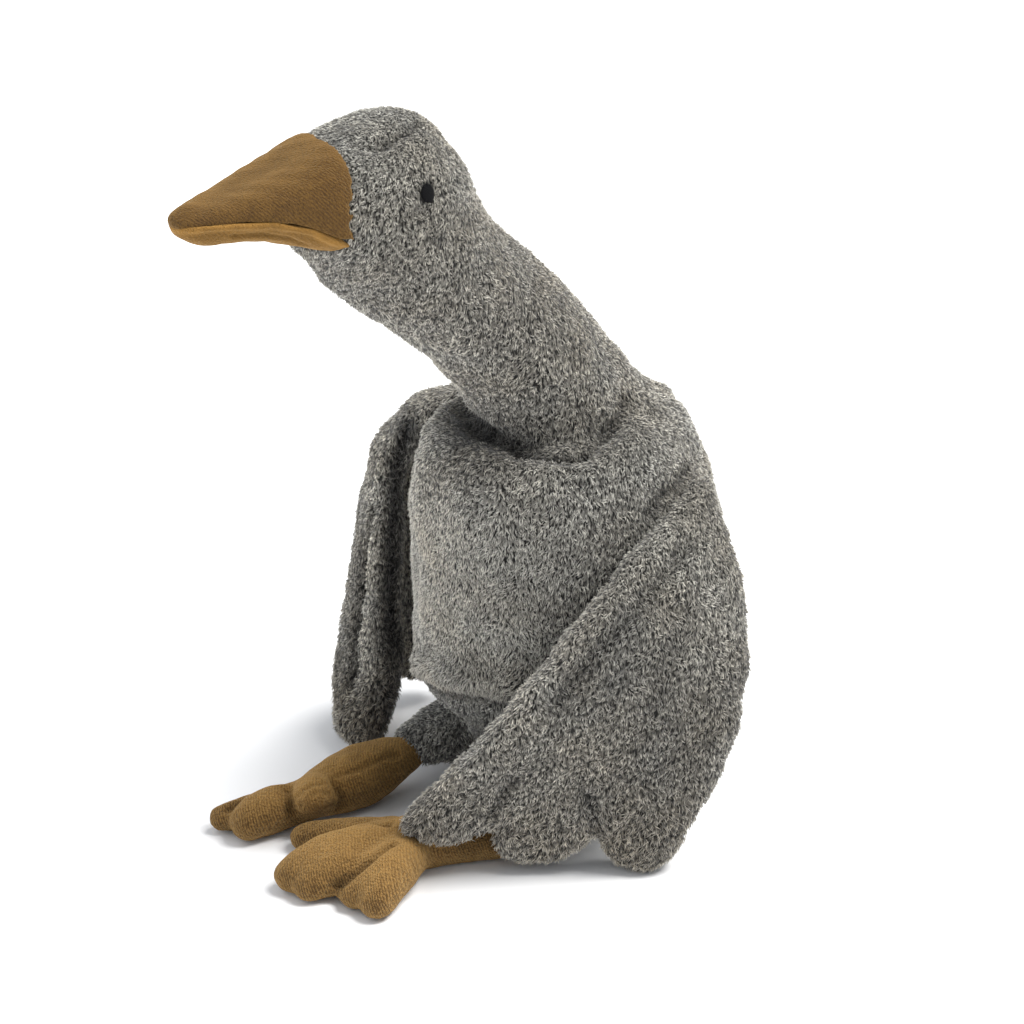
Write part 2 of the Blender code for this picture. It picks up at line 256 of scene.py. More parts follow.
def lay_thread(bm, path, radius, sides=6):
    """Adds a round thread along the path, thinner and closed at both ends."""
    rings = []
    for number, spot in enumerate(path):
        before, after = path[max(number - 1, 0)], path[min(number + 1, len(path) - 1)]
        turn = (after - before).to_track_quat("Z", "Y").to_matrix().to_4x4()
        thin = 0.55 if number in (0, len(path) - 1) else 1.0
        where = Matrix.Translation(spot) @ turn
        made = bmesh.ops.create_circle(bm, segments=sides, radius=radius * thin, matrix=where)
        rings.append(list(dict.fromkeys(edge for vert in made["verts"] for edge in vert.link_edges)))
    for ring, following in zip(rings, rings[1:]):
        bmesh.ops.bridge_loops(bm, edges=ring + following)
    for ring in (rings[0], rings[-1]):
        bmesh.ops.edgeloop_fill(bm, edges=ring)


def unwrap(piece):
    """Lays the skin out flat by its own facets, as the map that the pile shares."""
    mesh = piece.data
    mesh.uv_layers.new(name="OFBake")
    for other in bpy.context.selected_objects:
        other.select_set(False)
    bpy.context.view_layer.objects.active = piece
    piece.select_set(True)
    bpy.ops.object.mode_set(mode="EDIT")
    bpy.ops.mesh.select_all(action="SELECT")
    bpy.ops.uv.smart_project(angle_limit=math.radians(66), island_margin=0.001)
    bpy.ops.object.mode_set(mode="OBJECT")
    piece.select_set(False)


# ---------------------------------------------------------------- the lie and shades of the pile

# The pile of the head runs out from this place over it.
CROWN = place(0.0, -0.098, 0.486)
# How far past the edge of an eye the locks are still kept off it.
EYE_MARGIN = 0.0002
# The way the left eye faces, and how far it is pressed into the pile.
EYE_FACES = (0.937, 0.171, 0.304)
EYE_PRESSED = 0.0004
# Loose thread ends of an eye, from and to, in half widths backward and half heights upward from its middle.
LOOSE_ENDS = (
    ((0.0, 0.7), (0.10, 1.25)), ((-0.4, 0.6), (-0.62, 0.98)), ((-0.5, -0.6), (-0.95, -0.85)),
    ((0.35, 0.6), (0.62, 0.95)),
)

# How uneven each skin is, and how mottled its light and warm are: by how much, over what distance, and the
# seed of the drift.
UNEVEN = {
    "body": ((0.0013, 0.032, 21), (0.0009, 0.011, 22)),
    "wing": ((0.0010, 0.026, 31), (0.0007, 0.010, 32)),
    "bill": ((0.0003, 0.009, 51), (0.0004, 0.022, 52)),
    "foot": ((0.0004, 0.010, 61),),
    "body light": ((0.09, 0.045, 3), (0.11, 0.014, 8)),
    "body warm": ((0.18, 0.035, 4),),
    "wing light": ((0.07, 0.045, 5), (0.10, 0.013, 9)),
    "wing warm": ((0.16, 0.035, 6),),
}

# Folds and rolls of the body: how far in (or out, below 0), how wide, and the path, told from the trunk.
BODY_FOLDS = (
    (0.0042, 0.0030, ((0.024, -0.150, 0.456), (0.026, -0.140, 0.457), (0.023, -0.126, 0.460),
                      (0.015, -0.112, 0.461))),
    (0.0038, 0.0030, ((0.014, -0.116, 0.463), (0.018, -0.108, 0.457), (0.020, -0.102, 0.452))),
    (-0.0022, 0.0200, ((0.030, -0.096, 0.444), (0.036, -0.096, 0.430), (0.039, -0.097, 0.420))),
    (0.0020, 0.0075, ((0.0455, -0.1255, 0.426), (0.0455, -0.1255, 0.433))),
    (0.0020, 0.0075, ((-0.0455, -0.1255, 0.426), (-0.0455, -0.1255, 0.433))),
    (0.0050, 0.0070, ((-0.048, -0.055, 0.259), (-0.024, -0.056, 0.254), (0.007, -0.059, 0.254),
                      (0.037, -0.060, 0.258))),
    (0.0065, 0.0050, ((0.037, -0.059, 0.258), (0.052, -0.051, 0.2595), (0.062, -0.040, 0.259),
                      (0.065, -0.033, 0.260))),
    (0.0048, 0.0048, ((0.062, -0.031, 0.260), (0.058, -0.018, 0.263), (0.049, -0.002, 0.266),
                      (0.044, 0.011, 0.278))),
    (-0.0042, 0.0090, ((0.016, -0.061, 0.264), (0.028, -0.055, 0.265), (0.037, -0.043, 0.261),
                       (0.044, -0.031, 0.259))),
    (-0.0035, 0.0080, ((0.076, -0.036, 0.254), (0.073, -0.020, 0.258), (0.067, -0.005, 0.264),
                       (0.058, 0.012, 0.270))),
    (0.0045, 0.0042, ((0.0874, 0.0012, 0.2249), (0.0840, 0.0124, 0.2309), (0.0776, 0.0270, 0.2350),
                      (0.0700, 0.0389, 0.2361))),
    (0.0008, 0.0060, ((-0.062, -0.076, 0.092), (-0.050, -0.086, 0.099), (-0.020, -0.100, 0.115),
                      (0.010, -0.100, 0.122))),
    (0.0008, 0.0060, ((0.010, -0.100, 0.122), (0.036, -0.094, 0.126), (0.057, -0.082, 0.125),
                      (0.072, -0.070, 0.120))),
    (0.0052, 0.0036, ((-0.062, -0.078, 0.067), (-0.049, -0.087, 0.074), (-0.020, -0.099, 0.087),
                      (0.000, -0.100, 0.092))),
    (0.0052, 0.0036, ((0.000, -0.100, 0.092), (0.027, -0.097, 0.099), (0.048, -0.088, 0.103),
                      (0.066, -0.074, 0.104))),
)
# Broad painted shades and highlights of the body: painted shade under the neck, on the neck's front, by the
# wing, on the head's side, by the shoulder and along the belly's roll, and painted highlights on the breast
# and the crown. Each: how much paler (or darker, below 0), how wide, and the path.
BODY_PAINTED_SHADES = (
    (-0.50, 0.016, ((-0.024, -0.056, 0.254), (0.007, -0.060, 0.253), (0.037, -0.060, 0.258))),
    (-0.30, 0.016, ((-0.020, -0.070, 0.256), (0.004, -0.081, 0.257), (0.027, -0.085, 0.252))),
    (-0.24, 0.024, ((0.029, -0.069, 0.289), (0.0385, -0.047, 0.272), (0.047, -0.025, 0.267))),
    (-0.18, 0.032, ((0.079, -0.057, 0.176), (0.088, -0.035, 0.210))),
    (0.20, 0.032, ((0.000, -0.101, 0.220), (0.000, -0.101, 0.180), (0.010, -0.100, 0.145))),
    (0.10, 0.026, ((0.006, -0.120, 0.466), (0.014, -0.096, 0.462))),
    (-0.10, 0.022, ((0.048, -0.140, 0.420), (0.047, -0.105, 0.405))),
    (-0.12, 0.026, ((0.081, -0.010, 0.240), (0.081, 0.004, 0.248))),
    (-0.10, 0.012, ((-0.020, -0.101, 0.104), (0.036, -0.094, 0.114), (0.066, -0.076, 0.112))),
)
# The shaggy roll over the belly's seam: its crest, how far it stands out and how wide it is.
ROLL_PATH = (
    (-0.036, -0.096, 0.093), (-0.020, -0.101, 0.100), (0.012, -0.101, 0.107), (0.040, -0.094, 0.113),
    (0.066, -0.076, 0.112),
)
ROLL_HEIGHT = 0.0034
ROLL_REACH = 0.0075
# How far the short-piled gusset under the seam lies in.
GUSSET_DEPTH = 0.0055
# The depth of a fold at which about a third of the light is left in it.
FOLD_LIGHT = 0.0055
# Where the neck is browner: by how much, how wide, and the path.
NECK_BROWN = (0.22, 0.050, ((0.030, -0.110, 0.380), (0.030, -0.050, 0.310)))
# Where the neck grows out of the shoulders and back without a fold, how wide, and the rounds that even it
# out.
NAPE_PATH = (
    (0.072, -0.012, 0.262), (0.066, 0.020, 0.266), (0.050, 0.042, 0.268), (0.0, 0.058, 0.270),
    (-0.050, 0.042, 0.268), (-0.072, 0.0, 0.264),
)
NAPE_REACH = 0.026
NAPE_ROUNDS = 90
# The left wing's front hem, the channel behind it, and the gap between the right wing and the body.
HEM_PATH = (
    (0.101, 0.004, 0.217), (0.100, -0.023, 0.203), (0.104, -0.046, 0.184), (0.104, -0.065, 0.162),
    (0.098, -0.083, 0.137), (0.086, -0.108, 0.098), (0.069, -0.130, 0.067),
)
CHANNEL_PATH = (
    (0.109, 0.011, 0.208), (0.117, -0.014, 0.191), (0.119, -0.038, 0.172), (0.116, -0.057, 0.153),
    (0.107, -0.077, 0.124),
)
GAP_PATH = (
    (-0.100, -0.066, 0.226), (-0.099, -0.068, 0.203), (-0.100, -0.069, 0.175), (-0.100, -0.071, 0.144),
    (-0.098, -0.073, 0.114), (-0.096, -0.076, 0.080),
)
WING_FOLDS = {
    "wing_left": (
        (-0.0022, 0.0060, HEM_PATH),
        (0.0030, 0.0060, CHANNEL_PATH),
        (-0.0014, 0.0060, ((0.1120, 0.0268, 0.2028), (0.1186, 0.0087, 0.1934), (0.1221, -0.0038, 0.1815))),
        (0.0018, 0.0080, ((0.124, 0.004, 0.178), (0.128, -0.010, 0.145), (0.126, -0.022, 0.120))),
        (0.0042, 0.0040, ((0.0839, -0.1049, 0.0469), (0.0881, -0.1011, 0.0581), (0.0937, -0.0953, 0.0728))),
        (0.0042, 0.0040, ((0.1113, -0.0484, 0.0340), (0.1114, -0.0514, 0.0452), (0.1111, -0.0556, 0.0599))),
    ),
    "wing_right": (
        (0.0055, 0.0080, GAP_PATH),
        (-0.0050, 0.0150, ((-0.0955, -0.0758, 0.072), (-0.0945, -0.0790, 0.048))),
        (0.0050, 0.0042, ((-0.111, -0.084, 0.166), (-0.119, -0.086, 0.140), (-0.1205, -0.089, 0.109))),
        (0.0050, 0.0042, ((-0.1205, -0.089, 0.109), (-0.1186, -0.092, 0.089), (-0.114, -0.097, 0.067),
                          (-0.109, -0.102, 0.048))),
    ),
}
# Broad painted shades and highlights of the wings: painted highlights on the left wing's hem and upper part
# and painted shade over its middle, painted shadow in the gap beside the right wing and over its lower front,
# and a painted highlight on its lit strip. Each: how much paler (or darker, below 0), how wide, and the path.
WING_PAINTED_SHADES = {
    "wing_left": (
        (0.22, 0.0110, HEM_PATH),
        (0.20, 0.0300, ((0.107, 0.002, 0.210), (0.125, 0.019, 0.177))),
        (-0.17, 0.0360, ((0.126, -0.030, 0.130), (0.135, 0.001, 0.093), (0.133, -0.004, 0.053))),
    ),
    "wing_right": (
        (-0.75, 0.0092, GAP_PATH),
        (-0.50, 0.0110, ((-0.0955, -0.0758, 0.080), (-0.0945, -0.0790, 0.048), (-0.0906, -0.0866, 0.0235))),
        (0.90, 0.0085, ((-0.107, -0.079, 0.220), (-0.109, -0.081, 0.200), (-0.113, -0.083, 0.150),
                        (-0.113, -0.087, 0.100), (-0.106, -0.094, 0.060))),
    ),
}

# The swell at the bill's tip, the hollow over it and the groove under the lip.
BILL_FOLDS = {
    "beak_upper": (
        (-0.0030, 0.0070, ((0.000, -0.258, 0.426), (0.000, -0.253, 0.429))),
        (0.0016, 0.0110, ((0.000, -0.224, 0.438), (0.000, -0.210, 0.443), (0.000, -0.195, 0.448))),
    ),
    "beak_lower": (
        (0.0016, 0.0020, ((0.0200, -0.2320, 0.4160), (0.0251, -0.2181, 0.4160), (0.0290, -0.2052, 0.4122),
                          (0.0300, -0.1938, 0.4058))),
    ),
}
# The stuffed roll along the mouth's line on the lower bill, from the tip's middle back to the left corner,
# and its radius.
LEFT_LIP = (
    (0.0000, -0.2596, 0.4200),
    (0.0062, -0.2582, 0.4204),
    (0.0106, -0.2552, 0.4209),
    (0.0158, -0.2462, 0.4217),
    (0.0212, -0.2320, 0.4222),
    (0.0288, -0.2120, 0.4216),
    (0.0358, -0.1920, 0.4164),
    (0.0394, -0.1800, 0.4098),
    (0.0398, -0.1720, 0.4060),
)
LIP_PATH = (*((-x, y, z) for x, y, z in LEFT_LIP[:0:-1]), *LEFT_LIP)
LIP_RADIUS = 0.0021
# How much a painted highlight pales the lower bill's velour, how much more on the lip, and how wide that is.
BILL_PAINTED_HIGHLIGHT = 0.32
LIP_PAINTED_HIGHLIGHT = 0.60
LIP_HIGHLIGHT_REACH = 0.0030

# Seams and puckers of the feet, and their broad painted shades and highlights.
FOOT_FOLDS = {
    "foot_left": (
        (0.0045, 0.0034, ((0.0608, -0.2004, 0.0114), (0.0627, -0.1918, 0.0201), (0.0625, -0.1767, 0.0279),
                          (0.0577, -0.1605, 0.0305))),
        (0.0030, 0.0030, ((0.034, -0.150, 0.028), (0.020, -0.165, 0.022), (0.010, -0.190, 0.015))),
    ),
    "foot_right": (
        (0.0018, 0.0022, ((-0.036, -0.105, 0.033), (-0.032, -0.120, 0.035), (-0.029, -0.139, 0.034),
                          (-0.031, -0.152, 0.032))),
        (0.0016, 0.0014, ((-0.0239, -0.1863, 0.0258), (-0.0190, -0.1790, 0.0340),
                          (-0.0206, -0.1670, 0.0361))),
        (0.0014, 0.0012, ((-0.0250, -0.1850, 0.0220), (-0.0170, -0.1760, 0.0310),
                          (-0.0181, -0.1636, 0.0293))),
        (0.0014, 0.0012, ((-0.0250, -0.1840, 0.0180), (-0.0180, -0.1720, 0.0240),
                          (-0.0238, -0.1582, 0.0166))),
        (0.0040, 0.0032, ((-0.0364, -0.1841, 0.0291), (-0.0279, -0.1871, 0.0262),
                          (-0.0265, -0.1873, 0.0192))),
        (0.0030, 0.0028, ((-0.0272, -0.1561, 0.0300), (-0.0242, -0.1530, 0.0199),
                          (-0.0275, -0.1544, 0.0088))),
        (0.0030, 0.0030, ((-0.047, -0.180, 0.026), (-0.049, -0.200, 0.022), (-0.050, -0.216, 0.014))),
    ),
}
# Painted shade at the left foot's ankle, and painted highlights on the right foot's toe and top: how much
# paler (or darker, below 0), how wide, and the path.
FOOT_PAINTED_SHADES = {
    "foot_left": ((-0.50, 0.012, ((0.062, -0.112, 0.020), (0.068, -0.095, 0.020), (0.075, -0.080, 0.018))),),
    "foot_right": (
        (0.35, 0.010, ((-0.026, -0.168, 0.036), (-0.030, -0.190, 0.030), (-0.040, -0.205, 0.024))),
        (0.70, 0.014, ((-0.040, -0.105, 0.040), (-0.036, -0.125, 0.040), (-0.034, -0.150, 0.038))),
    ),
}

# The bands of the body's pile over the belly, and the height where each starts.
BODY_BANDS = (("flank", 0.095), ("breast", 0.170), ("neck", 0.245), ("head", 0.360))

# What each velour is like: the strength of its fine ribs and of its wales, the size of its nap, how many
# times paler its painted sheen makes it from the side, and how its wales are turned, in degrees.
BILL_VELOUR = {"rib": 1.5, "wale": 0.5, "nap": 0.0006, "painted_sheen": 2.1, "turn": (-35, 0, 75)}
FOOT_VELOUR = {"rib": 3.2, "wale": 1.0, "nap": 0.0007, "painted_sheen": 1.9, "turn": (-20, 0, -60)}


def laid_on(points, path):
    """The path, told from the trunk, moved onto the nearest places of a skin."""
    corners = placed(path)
    spots = [start.lerp(end, step / 3) for start, end in zip(corners, corners[1:]) for step in range(3)]
    return [points[np.argmin(((points - np.array(spot)) ** 2).sum(1))] for spot in (*spots, corners[-1])]


def folded(points, folds):
    """How far in the folds press each point of a skin."""
    depth = np.zeros(len(points))
    for deep, reach, path in folds:
        depth += deep * nearness(points, laid_on(points, path), reach)
    return depth


def with_lip(mesh):
    """The lower bill's skin with the stuffed roll laid along its upper edge."""
    bm = bmesh.new()
    bm.from_mesh(mesh)
    lay_thread(bm, placed(LIP_PATH), LIP_RADIUS, 10)
    bmesh.ops.recalc_face_normals(bm, faces=bm.faces)
    bm.to_mesh(mesh)
    bm.free()
    return mesh


def fold_light(depth):
    """How much of the light is left at a fold's bottom."""
    return np.exp(-np.maximum(depth, 0) / FOLD_LIGHT)


def painted_shading(points, shades):
    """How pale the broad painted shades and highlights leave each point."""
    pale = np.ones(len(points))
    for change, reach, path in shades:
        pale *= 1 + change * nearness(points, laid_on(points, path), reach)
    return pale


def gusset(points):
    """1 on the short-piled gusset under the belly's seam, 0 elsewhere."""
    x, y, z = from_trunk(points).T
    seam = 0.0915 + 0.28 * x - 1.0 * x * x
    return ramp(seam - z, 0.0, 0.007) * ramp(z, 0.042, 0.058) * ramp(-y, 0.045, 0.070)


def sleek(points):
    """1 where the pile lies fine and close, on the front of the breast and belly, and 0 elsewhere."""
    x, y, z = from_trunk(points).T
    front = ramp(-y, 0.020, 0.065) * ramp(z, 0.085, 0.110)
    return front * ramp(0.262 - z, 0.010, 0.060) * ramp(0.10 - x, 0.0, 0.045)


def belly_roll(points):
    """1 on the crest of the shaggy roll over the belly's seam, falling to 0 beside it."""
    return nearness(points, placed(ROLL_PATH), ROLL_REACH)


def on_head(points):
    """1 on the head, 0 on the neck and below."""
    return ramp(points[:, 2], 0.35, 0.40)


def over_eyes(roots, lie, length):
    """Which locks would lie over an eye."""
    hidden = np.zeros(len(roots), bool)
    lie = lie / np.linalg.norm(lie, axis=1)[:, None]
    for node in EYE_NODES:
        low, high = (np.array(corner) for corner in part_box(node))
        middle, half = (low + high) / 2, (high - low) / 2 + EYE_MARGIN
        beside = np.abs(roots[:, 0] - middle[0]) < 0.020
        for share in (0.0, 0.5, 1.0):
            spot = (roots + lie * (length * share) - middle) / half
            hidden |= beside & (np.hypot(spot[:, 1], spot[:, 2]) < 1)
    return hidden


def lie_of_body(points):
    """Which way the pile runs: out from the crown on the head, and down the neck and the trunk."""
    down = np.array((0.0, -0.16, -1.0))
    from_crown = points - np.array(CROWN)
    from_crown /= np.linalg.norm(from_crown, axis=1)[:, None]
    head = ramp(points[:, 2], 0.345, 0.395)[:, None]
    back = ramp(points[:, 1] - HOME.y, 0.0, 0.06)[:, None] * np.array((0.0, 0.45, 0.0))
    return from_crown * head + (down + back) * (1 - head)


def lie_of_wing(points):
    """Which way the pile runs on a wing: down to the tips, and forward near the front edge."""
    forward = 1 - ramp(points[:, 1] - HOME.y, -0.09, 0.03)
    down = np.array((0.0, -0.12, -1.0))
    return down + forward[:, None] * np.array((0.0, -0.30, 0.0))


def body_shades(points):
    """(light, warm) of the body's plush at each point: how pale it is, and how brown.

    It is paler on the crown and darker on the neck; on the underside it is darker with painted shade, and
    greyer; it is greyer and darker on the gusset; and the broad painted shades and highlights lie over it.
    """
    z = points[:, 2]
    under = ramp(0.060 - z, 0.0, 0.012)
    pale = 1 + 0.12 * ramp(z, 0.435, 0.465) - 0.14 * ramp(z, 0.28, 0.36)
    # Painted shade on the underside.
    pale -= 0.10 * under
    pale += uneven(0.0, points, "body light")
    # The gusset is darker, and the broad painted shades and highlights lie over all.
    pale *= (1 - 0.15 * gusset(points)) * painted_shading(points, BODY_PAINTED_SHADES)
    brown, reach, path = NECK_BROWN
    warm = uneven(0.28, points, "body warm") + brown * nearness(points, placed(path), reach)
    warm *= 1 - 0.9 * gusset(points)
    warm *= 1 - 0.8 * under
    return pale, np.clip(warm, 0, 1)


def wing_shades(points, node):
    """(light, warm) of the wings' plush at each point, browner at the tips, with broad painted shades and
    highlights in its light.
    """
    z = points[:, 2]
    pale = uneven(0.84, points, "wing light")
    pale *= painted_shading(points, WING_PAINTED_SHADES[node])
    warm = uneven(0.38, points, "wing warm") + 0.30 * ramp(0.075 - z, 0.0, 0.05)
    return pale, np.clip(warm, 0, 1)


# ---------------------------------------------------------------- locks of pile


def lock_shape():
    """One lock along +Z from 0 to 1: (points, triangles, the shares along and round it of each corner)."""
    bm = bmesh.new()
    bmesh.ops.create_circle(bm, cap_ends=True, segments=3, radius=0.5)
    base = bm.faces[:]
    bmesh.ops.poke(bm, faces=base)
    bmesh.ops.duplicate(bm, geom=bm.verts[:] + bm.edges[:] + bm.faces[:])
    tips = [v for v in bm.verts if v.co.length < 0.01]
    tips[0].co.z, tips[1].co.z = -LOCK_WAIST, 1 - LOCK_WAIST
    bmesh.ops.remove_doubles(bm, verts=bm.verts, dist=WELD)
    bmesh.ops.translate(bm, verts=bm.verts, vec=(0, 0, LOCK_WAIST))
    bmesh.ops.recalc_face_normals(bm, faces=bm.faces)
    bm.verts.index_update()
    points = np.array([v.co for v in bm.verts])
    faces = np.array([[v.index for v in f.verts] for f in bm.faces])
    corners = []
    for face in bm.faces:
        middle = face.calc_center_median()
        turn = math.atan2(middle.y, middle.x)
        for vert in face.verts:
            swing = 0.0
            if math.hypot(vert.co.x, vert.co.y) > 0.01:
                swing = (math.atan2(vert.co.y, vert.co.x) - turn + math.pi) % (2 * math.pi) - math.pi
            corners.append((vert.co.z, (turn + swing) / (2 * math.pi) + 0.5))
    bm.free()
    return points, faces, np.array(corners)


def scatter(mesh, per_mm2, thinned, seed):
    """Roots spread over the skin, per_mm2 times thinned(points): (points, normals, unwrap, light, warm)."""
    mesh.calc_loop_triangles()
    count = len(mesh.loop_triangles)
    loops, area = np.empty(count * 3, np.int32), np.empty(count, np.float32)
    mesh.loop_triangles.foreach_get("loops", loops)
    mesh.loop_triangles.foreach_get("area", area)
    corner_vert = np.empty(len(mesh.loops), np.int32)
    mesh.loops.foreach_get("vertex_index", corner_vert)
    flat = np.empty(len(mesh.loops) * 2, np.float32)
    mesh.uv_layers["OFBake"].data.foreach_get("uv", flat)
    flat = flat.reshape(-1, 2)
    loops = loops.reshape(-1, 3)
    verts = corner_vert[loops]
    points, normals = points_of(mesh), normals_of(mesh)
    wanted = np.cumsum(area * per_mm2 * 1e6 * thinned(points[verts].mean(1)))
    rng = np.random.default_rng(seed)
    steps = np.arange(int(wanted[-1]))
    chosen = np.searchsorted(wanted, steps + rng.random(len(steps)))
    chosen = np.minimum(chosen, count - 1)
    a, b = rng.random(len(steps)), rng.random(len(steps))
    over = a + b > 1
    a[over], b[over] = 1 - a[over], 1 - b[over]
    weights = np.stack([1 - a - b, a, b], 1)[:, :, None]
    roots = (points[verts[chosen]] * weights).sum(1)
    outward = (normals[verts[chosen]] * weights).sum(1)
    outward /= np.linalg.norm(outward, axis=1)[:, None]
    shades = []
    for name in ("pile_light", "pile_warm"):
        values = np.empty(len(points), np.float32)
        mesh.attributes[name].data.foreach_get("value", values)
        shades.append((values[verts[chosen]] * weights[:, :, 0]).sum(1))
    return roots, outward, (flat[loops[chosen]] * weights).sum(1), *shades


def open_to_air(tree, start, outward):
    """Whether a root sees past the piece over it, along any of six rays 70 degrees off its way out."""
    side = outward.orthogonal().normalized()
    across = outward.cross(side)
    for step in range(6):
        angle = step * math.pi / 3
        ray = outward * 0.34 + (side * math.cos(angle) + across * math.sin(angle)) * 0.94
        if tree.ray_cast(start, ray, SIGHT)[0] is None:
            return True
    return False


def inside(tree, start, ray):
    """Whether a place is inside the closed pieces: a ray from it leaves them one time more than it enters."""
    crossings = 0
    spot = tree.ray_cast(start, ray)[0]
    while spot is not None and crossings < 20:
        crossings += 1
        spot = tree.ray_cast(spot + ray * WELD, ray)[0]
    return crossings % 2 == 1


def clear_of(roots, outward, trees):
    """Which roots are in the open: neither inside another piece nor squeezed deep under one."""
    free = np.ones(len(roots), bool)
    for tree in trees:
        for i in np.flatnonzero(free):
            start, ray = Vector(roots[i]), Vector(outward[i])
            if tree.find_nearest(start, NEARBY)[0] is None:
                continue
            if inside(tree, start, ray):
                free[i] = False
            elif tree.ray_cast(start, ray, SIGHT / 2)[0] is not None:
                free[i] = open_to_air(tree, start, ray)
    return free


def tree_of(nodes):
    """A search tree of welded copies of the solids."""
    mesh = welded_copy(nodes)
    bm = bmesh.new()
    bm.from_mesh(mesh)
    tree = BVHTree.FromBMesh(bm)
    bm.free()
    bpy.data.meshes.remove(mesh)
    return tree


def tufts_of(roots, each, seed):
    """The tuft that each lock leans into: (the number of its middle lock, the tuft's random value)."""
    middles = np.arange(0, len(roots), each)
    tree = KDTree(len(middles))
    for i in middles:
        tree.insert(roots[i], int(i))
    tree.balance()
    nearest = np.array([tree.find(root)[1] for root in roots])
    own = np.random.default_rng(seed).random(len(roots))
    return nearest, own[nearest]


def locks_mesh(name, locks, seed):
    """A joined mesh of solid locks that leave the skin, bend over along the lie and lean into tufts."""
    shape, faces, corners = lock_shape()
    rng = np.random.default_rng(seed)
    roots, outward, lie = locks["roots"], locks["outward"], locks["lie"]
    length, width, lift = locks["length"], locks["width"], locks["lift"]
    count = len(roots)
    across, share = shape[:, :2], shape[:, 2]
    run = lie - (lie * outward).sum(1)[:, None] * outward
    run /= np.maximum(np.linalg.norm(run, axis=1), 1e-9)[:, None]
    side = np.cross(outward, run)
    # A lock turns off the lie on its own, with its neighbours and with its tuft.
    turn = rng.normal(0, 0.30, count) + 0.6 * drift(roots, 0.018, 5) + 1.5 * (locks["tuft"] - 0.5)
    run = run * np.cos(turn)[:, None] + side * np.sin(turn)[:, None]
    side = np.cross(outward, run)
    # It rolls about its own length and sways to one side.
    roll = rng.normal(0, 0.8, count)
    flank = side * np.cos(roll)[:, None] + outward * np.sin(roll)[:, None]
    crest = outward * np.cos(roll)[:, None] - side * np.sin(roll)[:, None]
    sway = rng.normal(0, 0.22, count)
    reach, rise = np.cos(lift) * length, np.sin(lift) * length
    # It rises from the skin, bends over towards its tip and leans into its tuft.
    t = share[None, :, None]
    line = (
        roots[:, None]
        - outward[:, None] * ROOT_DEPTH
        + run[:, None] * (reach[:, None, None] * t)
        + outward[:, None] * (rise[:, None, None] * (1.35 * t - 0.62 * t * t))
        + side[:, None] * ((sway * length)[:, None, None] * t * t)
        + locks["lean"][:, None] * t * t
    )
    spread = width[:, None, None]
    line += flank[:, None] * (across[None, :, :1] * spread)
    line += crest[:, None] * (across[None, :, 1:] * spread * 0.8)
    line[:, :, 2] = np.maximum(line[:, :, 2], LOCK_FLOOR)
    mesh = bpy.data.meshes.new(name)
    mesh.vertices.add(count * len(shape))
    mesh.vertices.foreach_set("co", line.astype(np.float32).ravel())
    index = (np.arange(count)[:, None, None] * len(shape) + faces[None]).ravel()
    mesh.loops.add(len(index))
    mesh.loops.foreach_set("vertex_index", index.astype(np.int32))
    mesh.polygons.add(len(index) // 3)
    mesh.polygons.foreach_set("loop_start", np.arange(0, len(index), 3, dtype=np.int32))
    mesh.update(calc_edges=True)
    patch = locks["flat"][:, None] + LOCK_PATCH * (corners[None] - 0.5)
    mesh.uv_layers.new(name="OFBake").data.foreach_set("uv", patch.astype(np.float32).ravel())
    # Part of its tone is its own and part is its tuft's, and close pile is more even.
    each = np.ones((count, len(shape)))
    tone = 0.45 * rng.random(count) + 0.55 * locks["tuft_tone"]
    tone = 0.5 + (tone - 0.5) * (1 - 0.5 * locks["close"])
    along = share[None] + (0.55 - share[None]) * 0.35 * locks["close"][:, None]
    set_values(mesh, "pile_along", along.ravel())
    set_values(mesh, "pile_tone", (each * tone[:, None]).ravel())
    set_values(mesh, "pile_light", (each * locks["light"][:, None]).ravel())
    set_values(mesh, "pile_warm", (each * locks["warm"][:, None]).ravel())
    return mesh


# ---------------------------------------------------------------- node helpers


def new_group(name, inputs, outputs):
    """An empty shader node group with named sockets, or None when it is there already."""
    if name in bpy.data.node_groups:
        return None
    group = bpy.data.node_groups.new(name, "ShaderNodeTree")
    for label, kind, value in inputs:
        made = group.interface.new_socket(name=label, in_out="INPUT", socket_type=kind)
        made.default_value = value
    for label, kind in outputs:
        group.interface.new_socket(name=label, in_out="OUTPUT", socket_type=kind)
    return group


def add(tree, kind, **settings):
    """A node of the kind, with its settings."""
    node = tree.nodes.new(kind)
    for key, value in settings.items():
        setattr(node, key, value)
    return node


def sums(tree, operation, first, second, clamp=False):
    """A Math node's output; first and second are numbers or sockets."""
    node = add(tree, "ShaderNodeMath", operation=operation, use_clamp=clamp)
    for socket, value in zip(node.inputs, (first, second)):
        if isinstance(value, bpy.types.NodeSocket):
            tree.links.new(value, socket)
        else:
            socket.default_value = value
    return node.outputs[0]


def blend(tree, mode, share, first, second):
    """A colour Mix node's output; share, first and second are values or sockets."""
    node = add(tree, "ShaderNodeMix", data_type="RGBA", blend_type=mode)
    for socket, value in zip((node.inputs[0], node.inputs[6], node.inputs[7]), (share, first, second)):
        if isinstance(value, bpy.types.NodeSocket):
            tree.links.new(value, socket)
        elif isinstance(value, (int, float)):
            socket.default_value = value
        else:
            socket.default_value = (*value[:3], 1.0)
    return node.outputs[2]


def grey(tree, value):
    """A value's socket as a grey colour."""
    node = add(tree, "ShaderNodeCombineColor")
    for socket in node.inputs:
        tree.links.new(value, socket)
    return node.outputs[0]


def new_material(name):
    """(material, its tree, its Principled node)."""
    material = bpy.data.materials.new(name)
    material.use_nodes = True
    return material, material.node_tree, material.node_tree.nodes["Principled BSDF"]


